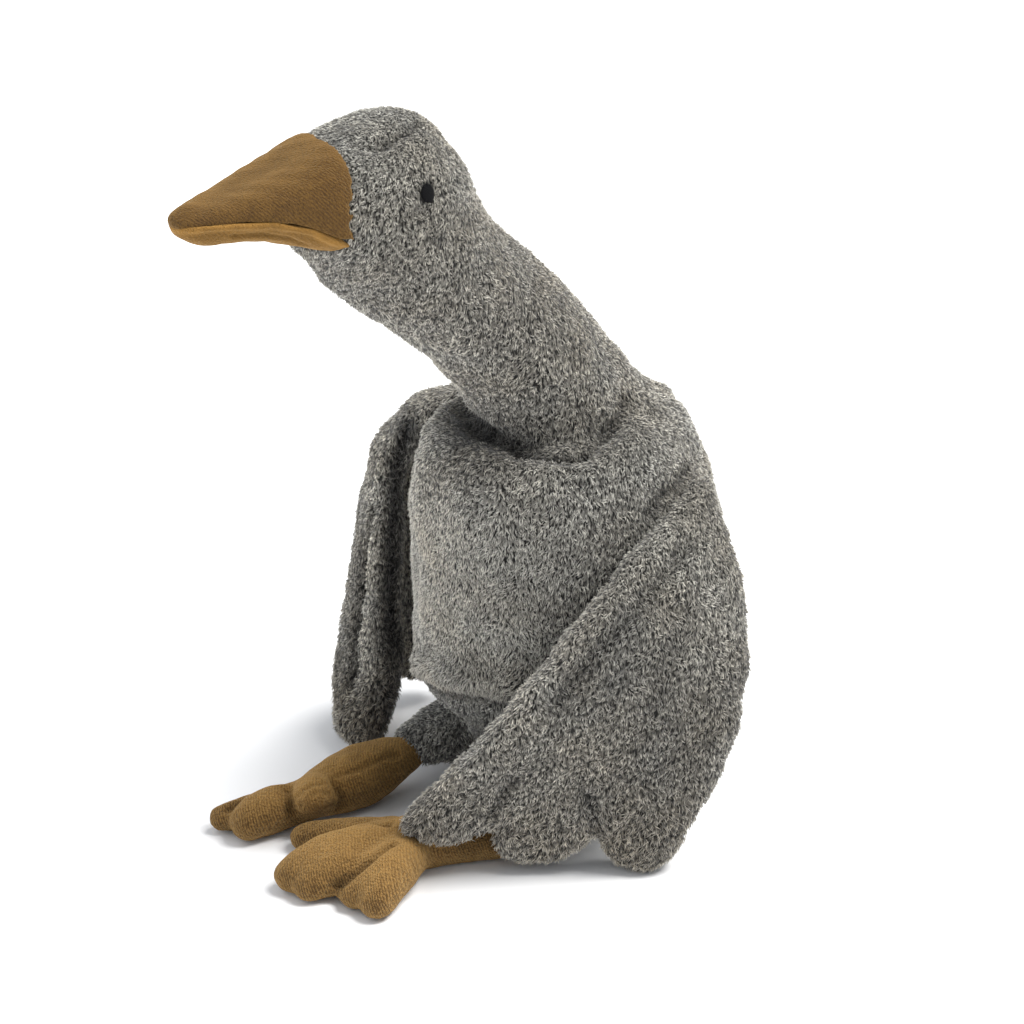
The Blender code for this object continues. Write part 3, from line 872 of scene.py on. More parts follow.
def fibre_shade_group():
    """Mottled fibre colour: a base and a brown tint, paled or darkened by its Light, which carries the
    painted shades and highlights, with fine noise through it.
    """
    group = new_group(
        "Fibre Shade",
        [
            ("Plush", "NodeSocketColor", (0.2, 0.2, 0.2, 1)),
            ("Brown", "NodeSocketColor", (0.2, 0.15, 0.1, 1)),
            ("Warm", "NodeSocketFloat", 0.3),
            ("Light", "NodeSocketFloat", 1.0),
            ("Fleck Size", "NodeSocketFloat", 0.002),
            ("Fleck", "NodeSocketFloat", 0.2),
        ],
        [("Color", "NodeSocketColor")],
    )
    if group is None:
        return bpy.data.node_groups["Fibre Shade"]
    given = add(group, "NodeGroupInput").outputs
    where = add(group, "ShaderNodeTexCoord").outputs["Object"]
    noise = add(group, "ShaderNodeTexNoise")
    noise.inputs["Detail"].default_value = 3.0
    group.links.new(where, noise.inputs["Vector"])
    group.links.new(sums(group, "DIVIDE", 1.0, given["Fleck Size"]), noise.inputs["Scale"])
    swing = sums(group, "MULTIPLY", sums(group, "SUBTRACT", noise.outputs[0], 0.5), given["Fleck"])
    shade = sums(group, "MULTIPLY", given["Light"], sums(group, "ADD", swing, 1.0))
    base = blend(group, "MIX", given["Warm"], given["Plush"], given["Brown"])
    out = add(group, "NodeGroupOutput")
    group.links.new(blend(group, "MULTIPLY", 1.0, base, grey(group, shade)), out.inputs["Color"])
    return group


def fibre_streak_group():
    """Short curled fibres drawn out downward: how pale each place is, and its height."""
    group = new_group(
        "Fibre Streak",
        [
            ("Vector", "NodeSocketVector", (0, 0, 0)),
            ("Size", "NodeSocketFloat", 0.001),
            ("Curl", "NodeSocketFloat", 0.002),
        ],
        [("Pale", "NodeSocketFloat"), ("Height", "NodeSocketFloat")],
    )
    if group is None:
        return bpy.data.node_groups["Fibre Streak"]
    given = add(group, "NodeGroupInput").outputs
    bend = add(group, "ShaderNodeTexNoise")
    bend.inputs["Scale"].default_value = 190.0
    bend.inputs["Detail"].default_value = 1.0
    group.links.new(given["Vector"], bend.inputs["Vector"])
    centred = add(group, "ShaderNodeVectorMath", operation="SUBTRACT")
    group.links.new(bend.outputs[1], centred.inputs[0])
    centred.inputs[1].default_value = (0.5, 0.5, 0.5)
    moved = add(group, "ShaderNodeVectorMath", operation="SCALE")
    group.links.new(centred.outputs[0], moved.inputs[0])
    group.links.new(given["Curl"], moved.inputs["Scale"])
    bent = add(group, "ShaderNodeVectorMath", operation="ADD")
    group.links.new(given["Vector"], bent.inputs[0])
    group.links.new(moved.outputs[0], bent.inputs[1])
    drawn = add(group, "ShaderNodeVectorMath", operation="MULTIPLY")
    group.links.new(bent.outputs[0], drawn.inputs[0])
    drawn.inputs[1].default_value = (1.0, 1.0, 0.30)
    fibre = add(group, "ShaderNodeTexNoise")
    fibre.inputs["Detail"].default_value = 1.5
    group.links.new(drawn.outputs[0], fibre.inputs["Vector"])
    group.links.new(sums(group, "DIVIDE", 1.0, given["Size"]), fibre.inputs["Scale"])
    pale = add(group, "ShaderNodeMapRange", interpolation_type="SMOOTHSTEP")
    group.links.new(fibre.outputs[0], pale.inputs["Value"])
    pale.inputs["From Min"].default_value = 0.40
    pale.inputs["From Max"].default_value = 0.64
    out = add(group, "NodeGroupOutput")
    group.links.new(pale.outputs[0], out.inputs["Pale"])
    group.links.new(fibre.outputs[0], out.inputs["Height"])
    return group


def velour_group():
    """Velour of fine ribs and wider wales under a short nap: how dark each place is, and its height."""
    group = new_group(
        "Velour Rib",
        [
            ("Vector", "NodeSocketVector", (0, 0, 0)),
            ("Rib Pitch", "NodeSocketFloat", 0.0015),
            ("Rib", "NodeSocketFloat", 0.4),
            ("Wale Pitch", "NodeSocketFloat", 0.0016),
            ("Wale", "NodeSocketFloat", 0.5),
            ("Nap Size", "NodeSocketFloat", 0.0012),
            ("Patch Size", "NodeSocketFloat", 0.014),
        ],
        [("Dark", "NodeSocketFloat"), ("Height", "NodeSocketFloat")],
    )
    if group is None:
        return bpy.data.node_groups["Velour Rib"]
    given = add(group, "NodeGroupInput").outputs

    def noise(vector, size, detail, stretch=(1.0, 1.0, 1.0)):
        """Noise of the given size, drawn out by stretch."""
        drawn = add(group, "ShaderNodeVectorMath", operation="MULTIPLY")
        group.links.new(vector, drawn.inputs[0])
        drawn.inputs[1].default_value = stretch
        node = add(group, "ShaderNodeTexNoise")
        node.inputs["Detail"].default_value = detail
        group.links.new(drawn.outputs[0], node.inputs["Vector"])
        group.links.new(sums(group, "DIVIDE", 1.0, size), node.inputs["Scale"])
        return node.outputs[0]

    ribs = noise(given["Vector"], given["Rib Pitch"], 1.0, (1.0, 0.6, 0.6))
    nap = noise(given["Vector"], given["Nap Size"], 3.0)
    patch = noise(given["Vector"], given["Patch Size"], 2.0)
    wales = add(group, "ShaderNodeTexWave", wave_type="BANDS", bands_direction="X")
    wales.inputs["Distortion"].default_value = 3.0
    wales.inputs["Detail"].default_value = 1.0
    wales.inputs["Detail Scale"].default_value = 0.6
    group.links.new(given["Vector"], wales.inputs["Vector"])
    group.links.new(sums(group, "DIVIDE", math.pi / 10, given["Wale Pitch"]), wales.inputs["Scale"])
    wale_part = sums(group, "MULTIPLY", sums(group, "SUBTRACT", 0.5, wales.outputs["Fac"]), given["Wale"])
    rib_part = sums(group, "MULTIPLY", sums(group, "SUBTRACT", 0.5, ribs), given["Rib"])
    nap_part = sums(group, "MULTIPLY", sums(group, "SUBTRACT", 0.5, nap), 1.2)
    patch_part = sums(group, "MULTIPLY", sums(group, "SUBTRACT", 0.5, patch), 0.9)
    whole = sums(group, "ADD", rib_part, nap_part)
    for part in (patch_part, wale_part):
        whole = sums(group, "ADD", whole, part)
    height = sums(group, "ADD", sums(group, "MULTIPLY", ribs, given["Rib"]), nap)
    out = add(group, "NodeGroupOutput")
    group.links.new(sums(group, "ADD", whole, 0.5, True), out.inputs["Dark"])
    group.links.new(height, out.inputs["Height"])
    return group


def place_group(tree, group, values):
    """A group node with its inputs set from values or sockets."""
    node = add(tree, "ShaderNodeGroup", node_tree=group)
    for label, value in values.items():
        if isinstance(value, bpy.types.NodeSocket):
            tree.links.new(value, node.inputs[label])
        elif isinstance(value, (int, float)):
            node.inputs[label].default_value = value
        else:
            node.inputs[label].default_value = (*value[:3], 1.0)
    return node


def read_value(tree, name):
    """The socket of a piece's own value."""
    return add(tree, "ShaderNodeAttribute", attribute_name=name).outputs["Fac"]


def set_finish(shader, roughness, specular, sheen=0.0, sheen_roughness=0.5):
    """Sets how rough, how shiny and how downy a finish is."""
    shader.inputs["Roughness"].default_value = roughness
    shader.inputs["Specular IOR Level"].default_value = specular
    shader.inputs["Sheen Weight"].default_value = sheen
    shader.inputs["Sheen Roughness"].default_value = sheen_roughness


def set_relief(tree, shader, height, distance, strength=1.0):
    """Gives a finish the relief of the height's socket, distance metres from its lowest to its highest."""
    bump = add(tree, "ShaderNodeBump")
    bump.inputs["Distance"].default_value = distance
    bump.inputs["Strength"].default_value = strength
    tree.links.new(height, bump.inputs["Height"])
    tree.links.new(bump.outputs[0], shader.inputs["Normal"])


def plush_colour(tree, settings, light, fleck_size, fleck):
    """The plush's colour in this light, with flecks of fleck_size metres and fleck strength."""
    given = {
        "Plush": settings.plush,
        "Brown": settings.brown,
        "Warm": read_value(tree, "pile_warm"),
        "Light": light,
        "Fleck Size": fleck_size,
        "Fleck": fleck,
    }
    return place_group(tree, fibre_shade_group(), given).outputs["Color"]


def pile_material(settings):
    """Plush pile: dark at the roots and pale at the tips, partly the fibres' own colour and partly painted
    shade deep in the pile, each lock with its own shade, and the painted shades and highlights of its skin
    carried in its light.
    """
    material, tree, shader = new_material("plush pile")
    along, tone = read_value(tree, "pile_along"), read_value(tree, "pile_tone")
    # From the dark roots to the pale tips: partly the fibres' own colour, partly painted shade deep in the
    # pile.
    rise = add(tree, "ShaderNodeMapRange", interpolation_type="SMOOTHSTEP")
    tree.links.new(along, rise.inputs["Value"])
    rise.inputs["From Min"].default_value = 0.05
    rise.inputs["From Max"].default_value = 0.85
    rise.inputs["To Min"].default_value = settings.root_shade
    rise.inputs["To Max"].default_value = settings.tip_shade
    own = sums(tree, "ADD", sums(tree, "MULTIPLY", tone, settings.tone_swing), 1 - settings.tone_swing / 2)
    own = sums(tree, "MULTIPLY", rise.outputs[0], own)
    # The light carries the painted shades and highlights of the skin under the lock, and painted shade
    # between the tufts.
    light = sums(tree, "MULTIPLY", own, read_value(tree, "pile_light"))
    tree.links.new(plush_colour(tree, settings, light, 0.004, 0.25), shader.inputs["Base Color"])
    set_finish(shader, 0.85, 0.25, 0.35, 0.45)
    return material


def skin_material(settings):
    """The shorter fibres on the knitted ground, which show between the locks, kept dark partly by their own
    colour and partly by painted shade between the locks.
    """
    material, tree, shader = new_material("plush ground")
    where = add(tree, "ShaderNodeTexCoord").outputs["Object"]
    streak = place_group(tree, fibre_streak_group(), {"Vector": where, "Size": settings.width * 1.6})
    # The ground's darkness is partly its own darker fibres and partly painted shade between the locks; its
    # light carries the painted shades and highlights.
    swing = sums(tree, "MULTIPLY", streak.outputs["Pale"], settings.under_shade - settings.ground_shade)
    own = sums(tree, "ADD", swing, settings.ground_shade)
    light = sums(tree, "MULTIPLY", own, read_value(tree, "pile_light"))
    tree.links.new(plush_colour(tree, settings, light, 0.003, 0.4), shader.inputs["Base Color"])
    set_relief(tree, shader, streak.outputs["Height"], 0.0014, 0.8)
    set_finish(shader, 0.95, 0.15, 0.3, 0.5)
    return material


def velour_material(name, settings, rib, wale, nap, painted_sheen, turn):
    """Velour with a painted sheen, pale where it is seen from the side and paler still under a painted
    highlight, dark where it faces the eye, and darker in the painted shade of its folds.
    """
    material, tree, shader = new_material(name)
    where = add(tree, "ShaderNodeTexCoord").outputs["Object"]
    mapping = add(tree, "ShaderNodeMapping")
    mapping.inputs["Rotation"].default_value = [math.radians(angle) for angle in turn]
    tree.links.new(where, mapping.inputs["Vector"])
    given = {
        "Vector": mapping.outputs[0],
        "Rib Pitch": settings.pitch,
        "Rib": rib,
        "Wale": wale,
        "Nap Size": nap,
    }
    made = place_group(tree, velour_group(), given)
    base = blend(tree, "MIX", made.outputs["Dark"], settings.colour, settings.dark)
    # Painted shade in the folds; on the feet also the broad painted shades and highlights.
    base = blend(tree, "MULTIPLY", 1.0, base, grey(tree, read_value(tree, "fold_light")))
    # A painted sheen from the side, with the painted highlights added to it.
    facing = add(tree, "ShaderNodeLayerWeight")
    facing.inputs["Blend"].default_value = 0.30
    pale = [min(1.0, c * painted_sheen) for c in settings.colour]
    edge = sums(tree, "MULTIPLY", facing.outputs["Facing"], 0.6)
    edge = sums(tree, "ADD", edge, read_value(tree, "painted_highlight"), True)
    tree.links.new(blend(tree, "MIX", edge, base, pale), shader.inputs["Base Color"])
    set_relief(tree, shader, made.outputs["Height"], 0.0010)
    set_finish(shader, 0.85, 0.2, 0.2, 0.4)
    shader.inputs["Sheen Tint"].default_value = (1.0, 0.78, 0.42, 1.0)
    return material


def thread_material(colour):
    """Embroidery thread with fine paler flecks."""
    material, tree, shader = new_material("eye thread")
    where = add(tree, "ShaderNodeTexCoord").outputs["Object"]
    noise = add(tree, "ShaderNodeTexNoise")
    noise.inputs["Scale"].default_value = 2600.0
    tree.links.new(where, noise.inputs["Vector"])
    paler = [c * 2.2 for c in colour]
    tree.links.new(blend(tree, "MIX", noise.outputs[0], colour, paler), shader.inputs["Base Color"])
    set_relief(tree, shader, noise.outputs[0], 0.0002)
    set_finish(shader, 0.75, 0.15)
    return material


# ---------------------------------------------------------------- settings


class PileSettings(bpy.types.PropertyGroup):
    plush: FloatVectorProperty(
        name="Plush", description="Grey of the plush", subtype="COLOR", default=(0.262, 0.258, 0.236), size=3,
        min=0, max=1,
    )
    brown: FloatVectorProperty(
        name="Brown", description="Brown that is mixed through the grey", subtype="COLOR",
        default=(0.235, 0.206, 0.160), size=3, min=0, max=1,
    )
    length: FloatProperty(
        name="Length", description="Length of a lock on the trunk", subtype="DISTANCE", default=0.0047,
        min=0.001, max=0.012, precision=4,
    )
    width: FloatProperty(
        name="Width", description="Width of a lock", subtype="DISTANCE", default=0.00080, min=0.0003,
        max=0.004, precision=5,
    )
    depth: FloatProperty(
        name="Depth", description="How deep the skin lies under the tips", subtype="DISTANCE", default=0.0020,
        min=0.001, max=0.006, precision=4,
    )
    density: FloatProperty(
        name="Density", description="Locks to a square millimetre", default=0.62, min=0.05, max=1.0,
    )
    tuft: IntProperty(name="Tuft", description="Locks that lean together", default=6, min=2)
    lean: FloatProperty(
        name="Lean", description="How far the tips of a tuft draw together", default=0.45, min=0, max=1,
    )
    # Parting is painted shade between the tufts.
    parting: FloatProperty(
        name="Parting", description="How much darker the locks are between two tufts", default=0.70, min=0,
        max=1,
    )
    lift: FloatProperty(
        name="Lift", description="How steeply the locks leave the skin", subtype="ANGLE",
        default=math.radians(38), min=0.1, max=1.4,
    )
    # The dark roots are partly the fibres' own colour and partly painted shade deep in the pile.
    root_shade: FloatProperty(
        name="Root Shade", description="Brightness at the roots", default=0.05, min=0, max=1,
    )
    # The dark ground is partly its own darker fibres and partly painted shade between the locks.
    ground_shade: FloatProperty(
        name="Ground Shade", description="Brightness between the ground's short fibres", default=0.04, min=0,
        max=1,
    )
    under_shade: FloatProperty(
        name="Under Shade", description="Brightness of the ground's short fibres", default=0.90, min=0, max=3,
    )
    tip_shade: FloatProperty(
        name="Tip Shade", description="Brightness at the tips", default=3.25, min=0.5, max=6,
    )
    tone_swing: FloatProperty(
        name="Tone Swing", description="How much the locks differ in shade", default=1.00, min=0, max=2,
    )
    seed: IntProperty(name="Seed", description="Start of the scatter", default=11, min=0)


class BillSettings(bpy.types.PropertyGroup):
    colour: FloatVectorProperty(
        name="Colour", description="Brown of the bill's velour", subtype="COLOR",
        default=(0.158, 0.082, 0.019), size=3, min=0, max=1,
    )
    dark: FloatVectorProperty(
        name="Dark", description="Brown between the ribs", subtype="COLOR", default=(0.075, 0.038, 0.012),
        size=3, min=0, max=1,
    )
    pitch: FloatProperty(
        name="Rib Pitch", description="Size of the fine ribbed grain", subtype="DISTANCE", default=0.0010,
        min=0.0005, max=0.005, precision=4,
    )


class FeetSettings(bpy.types.PropertyGroup):
    colour: FloatVectorProperty(
        name="Colour", description="Ochre of the feet's velour", subtype="COLOR",
        default=(0.265, 0.150, 0.046), size=3, min=0, max=1,
    )
    dark: FloatVectorProperty(
        name="Dark", description="Brown between the ribs", subtype="COLOR", default=(0.085, 0.042, 0.012),
        size=3, min=0, max=1,
    )
    pitch: FloatProperty(
        name="Rib Pitch", description="Size of the fine ribbed grain", subtype="DISTANCE", default=0.0010,
        min=0.0005, max=0.005, precision=4,
    )


class EyeSettings(bpy.types.PropertyGroup):
    colour: FloatVectorProperty(
        name="Colour", description="Black of the eyes' thread", subtype="COLOR",
        default=(0.002, 0.002, 0.0025), size=3, min=0, max=1,
    )
    thread: FloatProperty(
        name="Thread", description="Thickness of the thread", subtype="DISTANCE", default=0.0007, min=0.0002,
        max=0.002, precision=5,
    )
    stitches: IntProperty(
        name="Stitches", description="Stitches side by side over an eye", default=13, min=5, max=40,
    )
    bulge: FloatProperty(
        name="Bulge", description="How far the eye's middle stands out of its edge", subtype="DISTANCE",
        default=0.0014, min=0.0005, max=0.01, precision=5,
    )


class StageSettings(bpy.types.PropertyGroup):
    floor: FloatVectorProperty(
        name="Floor", description="White of the floor", subtype="COLOR", default=(0.93, 0.935, 0.945), size=3,
        min=0, max=1,
    )
    sky: FloatProperty(
        name="Sky", description="Strength of the light from all round", default=0.52, min=0, max=5,
    )
    softbox: FloatProperty(
        name="Softbox", description="Strength of the soft light overhead", default=4.7, min=0, max=20,
    )
    fill: FloatProperty(
        name="Fill", description="Strength of the weak light from the goose's right", default=0.9, min=0,
        max=5,
    )
    softness: FloatProperty(
        name="Softness", description="How wide the soft light overhead looks", subtype="ANGLE",
        default=math.radians(36), min=0.01, max=3.0,
    )
    camera_distance: FloatProperty(
        name="Camera Distance", description="From the camera to the goose", subtype="DISTANCE", default=2.0,
        min=0.5, max=10,
    )
    lens: FloatProperty(
        name="Lens", description="Focal length", unit="CAMERA", default=115.3, min=20, max=300,
    )
    azimuth: FloatProperty(
        name="Azimuth", description="Which side the camera stands on", subtype="ANGLE",
        default=math.radians(60),
    )
    elevation: FloatProperty(
        name="Elevation", description="How far the camera looks down", subtype="ANGLE",
        default=math.radians(24),
    )


# ---------------------------------------------------------------- pieces


class GOOSE_OT_body_cover(bpy.types.Operator):
    """Sews the head, neck, trunk, tail and thighs into one cover that lies under the pile"""

    bl_idname = "plush_goose.body_cover"
    bl_label = "Body Cover"

    def execute(self, context):
        settings = context.scene.goose_pile
        mesh = cloth_skin(welded_copy(BODY_NODES, OVERLAP), *SKIN_CUT["body"])
        points = points_of(mesh)
        nape = nearness(points, placed(NAPE_PATH), NAPE_REACH)[:, None]
        set_points(mesh, points * (1 - nape) + relaxed(points, mesh, NAPE_ROUNDS) * nape)
        points, normals = points_of(mesh), normals_of(mesh)
        depth = settings.depth * (1 - 0.50 * on_head(points))
        pressed = folded(points, BODY_FOLDS)
        light, warm = body_shades(points)
        depth = uneven(depth, points, "body") + pressed
        depth = depth + GUSSET_DEPTH * gusset(points) - ROLL_HEIGHT * belly_roll(points)
        points = relaxed(points - normals * depth[:, None], mesh, 2)
        points[:, 2] = np.maximum(points[:, 2], SKIN_FLOOR)
        set_points(mesh, points)
        # The pile's light: the body's shades, with painted shade at the bottom of each fold.
        set_values(mesh, "pile_light", light * fold_light(pressed))
        set_values(mesh, "pile_warm", warm)
        piece = add_piece("body_cover", mesh, skin_material(settings))
        unwrap(piece)
        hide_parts(*BODY_NODES)
        return {"FINISHED"}


class GOOSE_OT_wings(bpy.types.Operator):
    """Makes the two soft wings, each a pad, the left one with a sewn channel along its front edge"""

    bl_idname = "plush_goose.wings"
    bl_label = "Wings"

    def execute(self, context):
        settings = context.scene.goose_pile
        material = skin_material(settings)
        for node in WING_NODES:
            mesh = cloth_skin(welded_copy([node]), *SKIN_CUT["wing"])
            points, normals = points_of(mesh), normals_of(mesh)
            depth = uneven(settings.depth * 0.9, points, "wing")
            pressed = folded(points, WING_FOLDS[node])
            light, warm = wing_shades(points, node)
            points -= normals * (depth + pressed)[:, None]
            points[:, 2] = np.maximum(points[:, 2], SKIN_FLOOR)
            set_points(mesh, points)
            # The pile's light: the wing's painted shades and highlights, with painted shade at the bottom of
            # each fold.
            set_values(mesh, "pile_light", light * fold_light(pressed))
            set_values(mesh, "pile_warm", warm)
            piece = add_piece(node + "_pad", mesh, material)
            unwrap(piece)
            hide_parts(node)
        return {"FINISHED"}


class GOOSE_OT_pile(bpy.types.Operator):
    """Grows the short plush pile over the cover and the wings, as joined meshes of solid locks"""

    bl_idname = "plush_goose.pile"
    bl_label = "Pile"

    def execute(self, context):
        settings = context.scene.goose_pile
        material = pile_material(settings)
        round_body = [tree_of(nodes) for nodes in (WING_NODES, BILL_NODES, FOOT_NODES, EYE_NODES)]
        body = tree_of(BODY_NODES)
        skin = bpy.data.objects.get("body_cover")
        if skin is None:
            raise RuntimeError("the pile needs the body cover")
        found = scatter(skin.data, settings.density, self.body_thickness, settings.seed)
        free = clear_of(found[0], found[1], round_body)
        free &= ~over_eyes(found[0], lie_of_body(found[0]), settings.length * 0.6)
        self.grow("body", [part[free] for part in found], lie_of_body, material, settings)
        for node in WING_NODES:
            pad = bpy.data.objects.get(node + "_pad")
            if pad is None:
                raise RuntimeError("the pile needs the wings")
            found = scatter(pad.data, settings.density, self.wing_thickness, settings.seed + 5)
            free = clear_of(found[0], found[1], [body])
            self.grow(node, [part[free] for part in found], lie_of_wing, material, settings)
        return {"FINISHED"}

    @staticmethod
    def body_thickness(points):
        """Share of the pile's density over the body: closer on the head, thinner under the belly."""
        return 1 + 0.30 * on_head(points) - 0.35 * ramp(0.035 - points[:, 2], 0.0, 0.02)

    @staticmethod
    def wing_thickness(points):
        """Share of the pile's density over the wings."""
        return np.ones(len(points))

    @staticmethod
    def parts(kind, points):
        """The name of the piece that each root belongs to."""
        x, y, z = from_trunk(points).T
        if kind != "body":
            band = np.where(z > 0.155, "upper", np.where(z > 0.085, "middle", "lower"))
            return np.char.add(kind + "_pile_", band)
        side = np.where(x >= 0, "left", "right")
        band = np.full(len(points), "belly", "U12")
        for name, lowest in BODY_BANDS:
            band[z > lowest] = name
        back = (y > 0.0) & (z <= 0.245)
        band[back] = np.char.add("back_", band[back])
        return np.char.add(np.char.add(np.char.add("pile_", band), "_"), side)

    @staticmethod
    def growth(kind, points):
        """The pile's length as a share of the usual, longer on the belly roll and at the wings' tips."""
        if kind != "body":
            return 1 + 0.35 * ramp(0.070 - points[:, 2], 0.0, 0.04)
        return (1 - 0.14 * on_head(points)) * (1 + 0.45 * belly_roll(points)) * (1 - 0.30 * gusset(points))

    def grow(self, kind, found, lie_of, material, settings):
        """Adds the joined meshes of locks for one skin."""
        roots, outward, flat, light, warm = found
        names = self.parts(kind, roots)
        head = on_head(roots)
        rng = np.random.default_rng(settings.seed + 7)
        count = len(roots)
        middle, tuft = tufts_of(roots, settings.tuft, settings.seed + 8)
        lean = (roots[middle] - roots) * settings.lean
        lean -= (lean * outward).sum(1)[:, None] * outward
        # Locks at the border of a tuft are shorter and lower, and carry painted shade that makes them darker
        # and browner, so the tufts part.
        border = np.clip(np.linalg.norm(roots[middle] - roots, axis=1) / TUFT_REACH, 0, 1) ** 2
        close = sleek(roots) if kind == "body" else np.zeros(count)
        border *= 1 - 0.65 * close
        length = settings.length * self.growth(kind, roots)
        width = settings.width * (1 - 0.10 * head - 0.10 * close)
        lift = settings.lift * (1.12 + 0.1 * head - 0.40 * border)
        locks = {
            "roots": roots,
            "outward": outward,
            "flat": flat,
            "lie": lie_of(roots),
            "length": length * rng.uniform(0.75, 1.2, count) * (1 - 0.25 * border),
            "width": width * rng.uniform(0.75, 1.25, count),
            "lift": np.clip(lift + rng.normal(0, 0.20, count), 0.15, 1.3),
            "lean": lean * (1 - 0.5 * close)[:, None],
            "tuft": 0.5 + (tuft - 0.5) * (1 - 0.5 * close),
            "close": close,
            "tuft_tone": rng.random(count)[middle],
            # Painted shade, darker and browner, between the tufts.
            "light": light * (1 - settings.parting * border),
            "warm": np.clip(warm + 0.25 * border, 0, 1),
        }
        for number, name in enumerate(sorted(set(names))):
            mine = names == name
            if mine.sum() > LOCKS_PER_PIECE:
                raise RuntimeError(f"{name} has {mine.sum()} locks")
            own = {key: value[mine] for key, value in locks.items()}
            mesh = locks_mesh(str(name), own, settings.seed + 40 + number)
            add_piece(str(name), mesh, material)


class GOOSE_OT_bill(bpy.types.Operator):
    """Makes the stuffed velour bill, its upper part and its lower part"""

    bl_idname = "plush_goose.bill"
    bl_label = "Bill"

    def execute(self, context):
        settings = context.scene.goose_bill
        material = velour_material("bill velour", settings, **BILL_VELOUR)
        for node in BILL_NODES:
            mesh = cloth_skin(welded_copy([node]), *SKIN_CUT["bill"])
            if node == "beak_lower":
                mesh = cloth_skin(with_lip(mesh), *SKIN_CUT["lip"])
            points, normals = points_of(mesh), normals_of(mesh)
            pressed = folded(points, BILL_FOLDS[node])
            swell = uneven(0.0, points, "bill") - pressed
            # A painted highlight along the lower bill, strongest on the lip.
            painted_highlight = np.zeros(len(points))
            if node == "beak_lower":
                painted_highlight = BILL_PAINTED_HIGHLIGHT + LIP_PAINTED_HIGHLIGHT * nearness(points, laid_on(points, LIP_PATH), LIP_HIGHLIGHT_REACH)
            set_points(mesh, points + normals * swell[:, None])
            # Painted shade in the folds.
            set_values(mesh, "fold_light", fold_light(pressed))
            set_values(mesh, "painted_highlight", painted_highlight)
            piece = add_piece(node + "_velour", mesh, material)
            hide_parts(node)
        return {"FINISHED"}


class GOOSE_OT_feet(bpy.types.Operator):
    """Makes the two stuffed velour feet with the stitched valleys between their toes"""

    bl_idname = "plush_goose.feet"
    bl_label = "Feet"

    def execute(self, context):
        settings = context.scene.goose_feet
        material = velour_material("foot velour", settings, **FOOT_VELOUR)
        for node in FOOT_NODES:
            mesh = cloth_skin(welded_copy([node]), *SKIN_CUT["foot"])
            points, normals = points_of(mesh), normals_of(mesh)
            pressed = folded(points, FOOT_FOLDS[node])
            # Painted shade in the folds and at the left foot's ankle, and painted highlights on the right
            # foot's toe and top.
            set_values(mesh, "fold_light", painted_shading(points, FOOT_PAINTED_SHADES[node]) * fold_light(pressed))
            points += normals * (uneven(0.0, points, "foot") - pressed)[:, None]
            points[:, 2] = np.maximum(points[:, 2], 0.0)
            set_points(mesh, points)
            # A painted highlight on the tops of the feet.
            set_values(mesh, "painted_highlight", 0.30 * ramp(points[:, 2], 0.014, 0.034))
            piece = add_piece(node + "_velour", mesh, material)
            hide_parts(node)
        return {"FINISHED"}


class GOOSE_OT_eyes(bpy.types.Operator):
    """Embroiders the two oval eyes, thread by thread over a small pad"""

    bl_idname = "plush_goose.eyes"
    bl_label = "Eyes"

    def execute(self, context):
        settings = context.scene.goose_eyes
        material = thread_material(settings.colour)
        for node in EYE_NODES:
            turned = self.turned(node, settings)
            bm = bmesh.new()
            bmesh.ops.create_uvsphere(bm, u_segments=24, v_segments=14, radius=1.0, matrix=turned)
            for number in range(settings.stitches):
                self.stitch(bm, turned, number, settings)
            for start, end in LOOSE_ENDS:
                self.loose_end(bm, turned, start, end, settings)
            bmesh.ops.recalc_face_normals(bm, faces=bm.faces)
            mesh = bpy.data.meshes.new(node + "_stitched")
            bm.to_mesh(mesh)
            bm.free()
            piece = add_piece(node + "_stitched", mesh, material)
            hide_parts(node)
        return {"FINISHED"}

    @staticmethod
    def turned(node, settings):
        """The matrix that makes a ball of radius 1 the eye's pad, its axes outward, backward and upward."""
        low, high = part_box(node)
        side = 1 if low.x > HOME.x else -1
        outward = Vector((side * EYE_FACES[0], EYE_FACES[1], EYE_FACES[2])).normalized()
        upward = (Vector((0, 0, 1)) - outward * outward.z).normalized()
        backward = upward.cross(outward) * side
        half = (high - low) / 2
        axes = (outward * settings.bulge, backward * half.y, upward * half.z * 1.08)
        middle = (low + high) / 2 - outward * EYE_PRESSED
        return Matrix([(*row, at) for row, at in zip(zip(*axes), middle)] + [(0, 0, 0, 1)])

    @staticmethod
    def loose_end(bm, turned, start, end, settings):
        """A short thread that lies from start over the eye's edge to end."""
        path = []
        for share in (0.0, 0.5, 1.0):
            back, up = (a + (b - a) * share for a, b in zip(start, end))
            path.append(turned @ Vector((0.80 - 0.35 * share, back, up)))
        lay_thread(bm, path, settings.thread * 0.6)

    @staticmethod
    def stitch(bm, turned, number, settings):
        """One thread laid over the eye's outer face, from its front edge to its back edge."""
        up = 1 - 2 * (number + 0.5) / settings.stitches
        ring = math.sqrt(1 - up * up)
        path = []
        for step in range(9):
            angle = math.radians(-88 + 22 * step)
            out, back = ring * math.cos(angle), ring * math.sin(angle)
            path.append(turned @ Vector((out, back, up + 0.10 * back)))
        lay_thread(bm, path, settings.thread / 2)


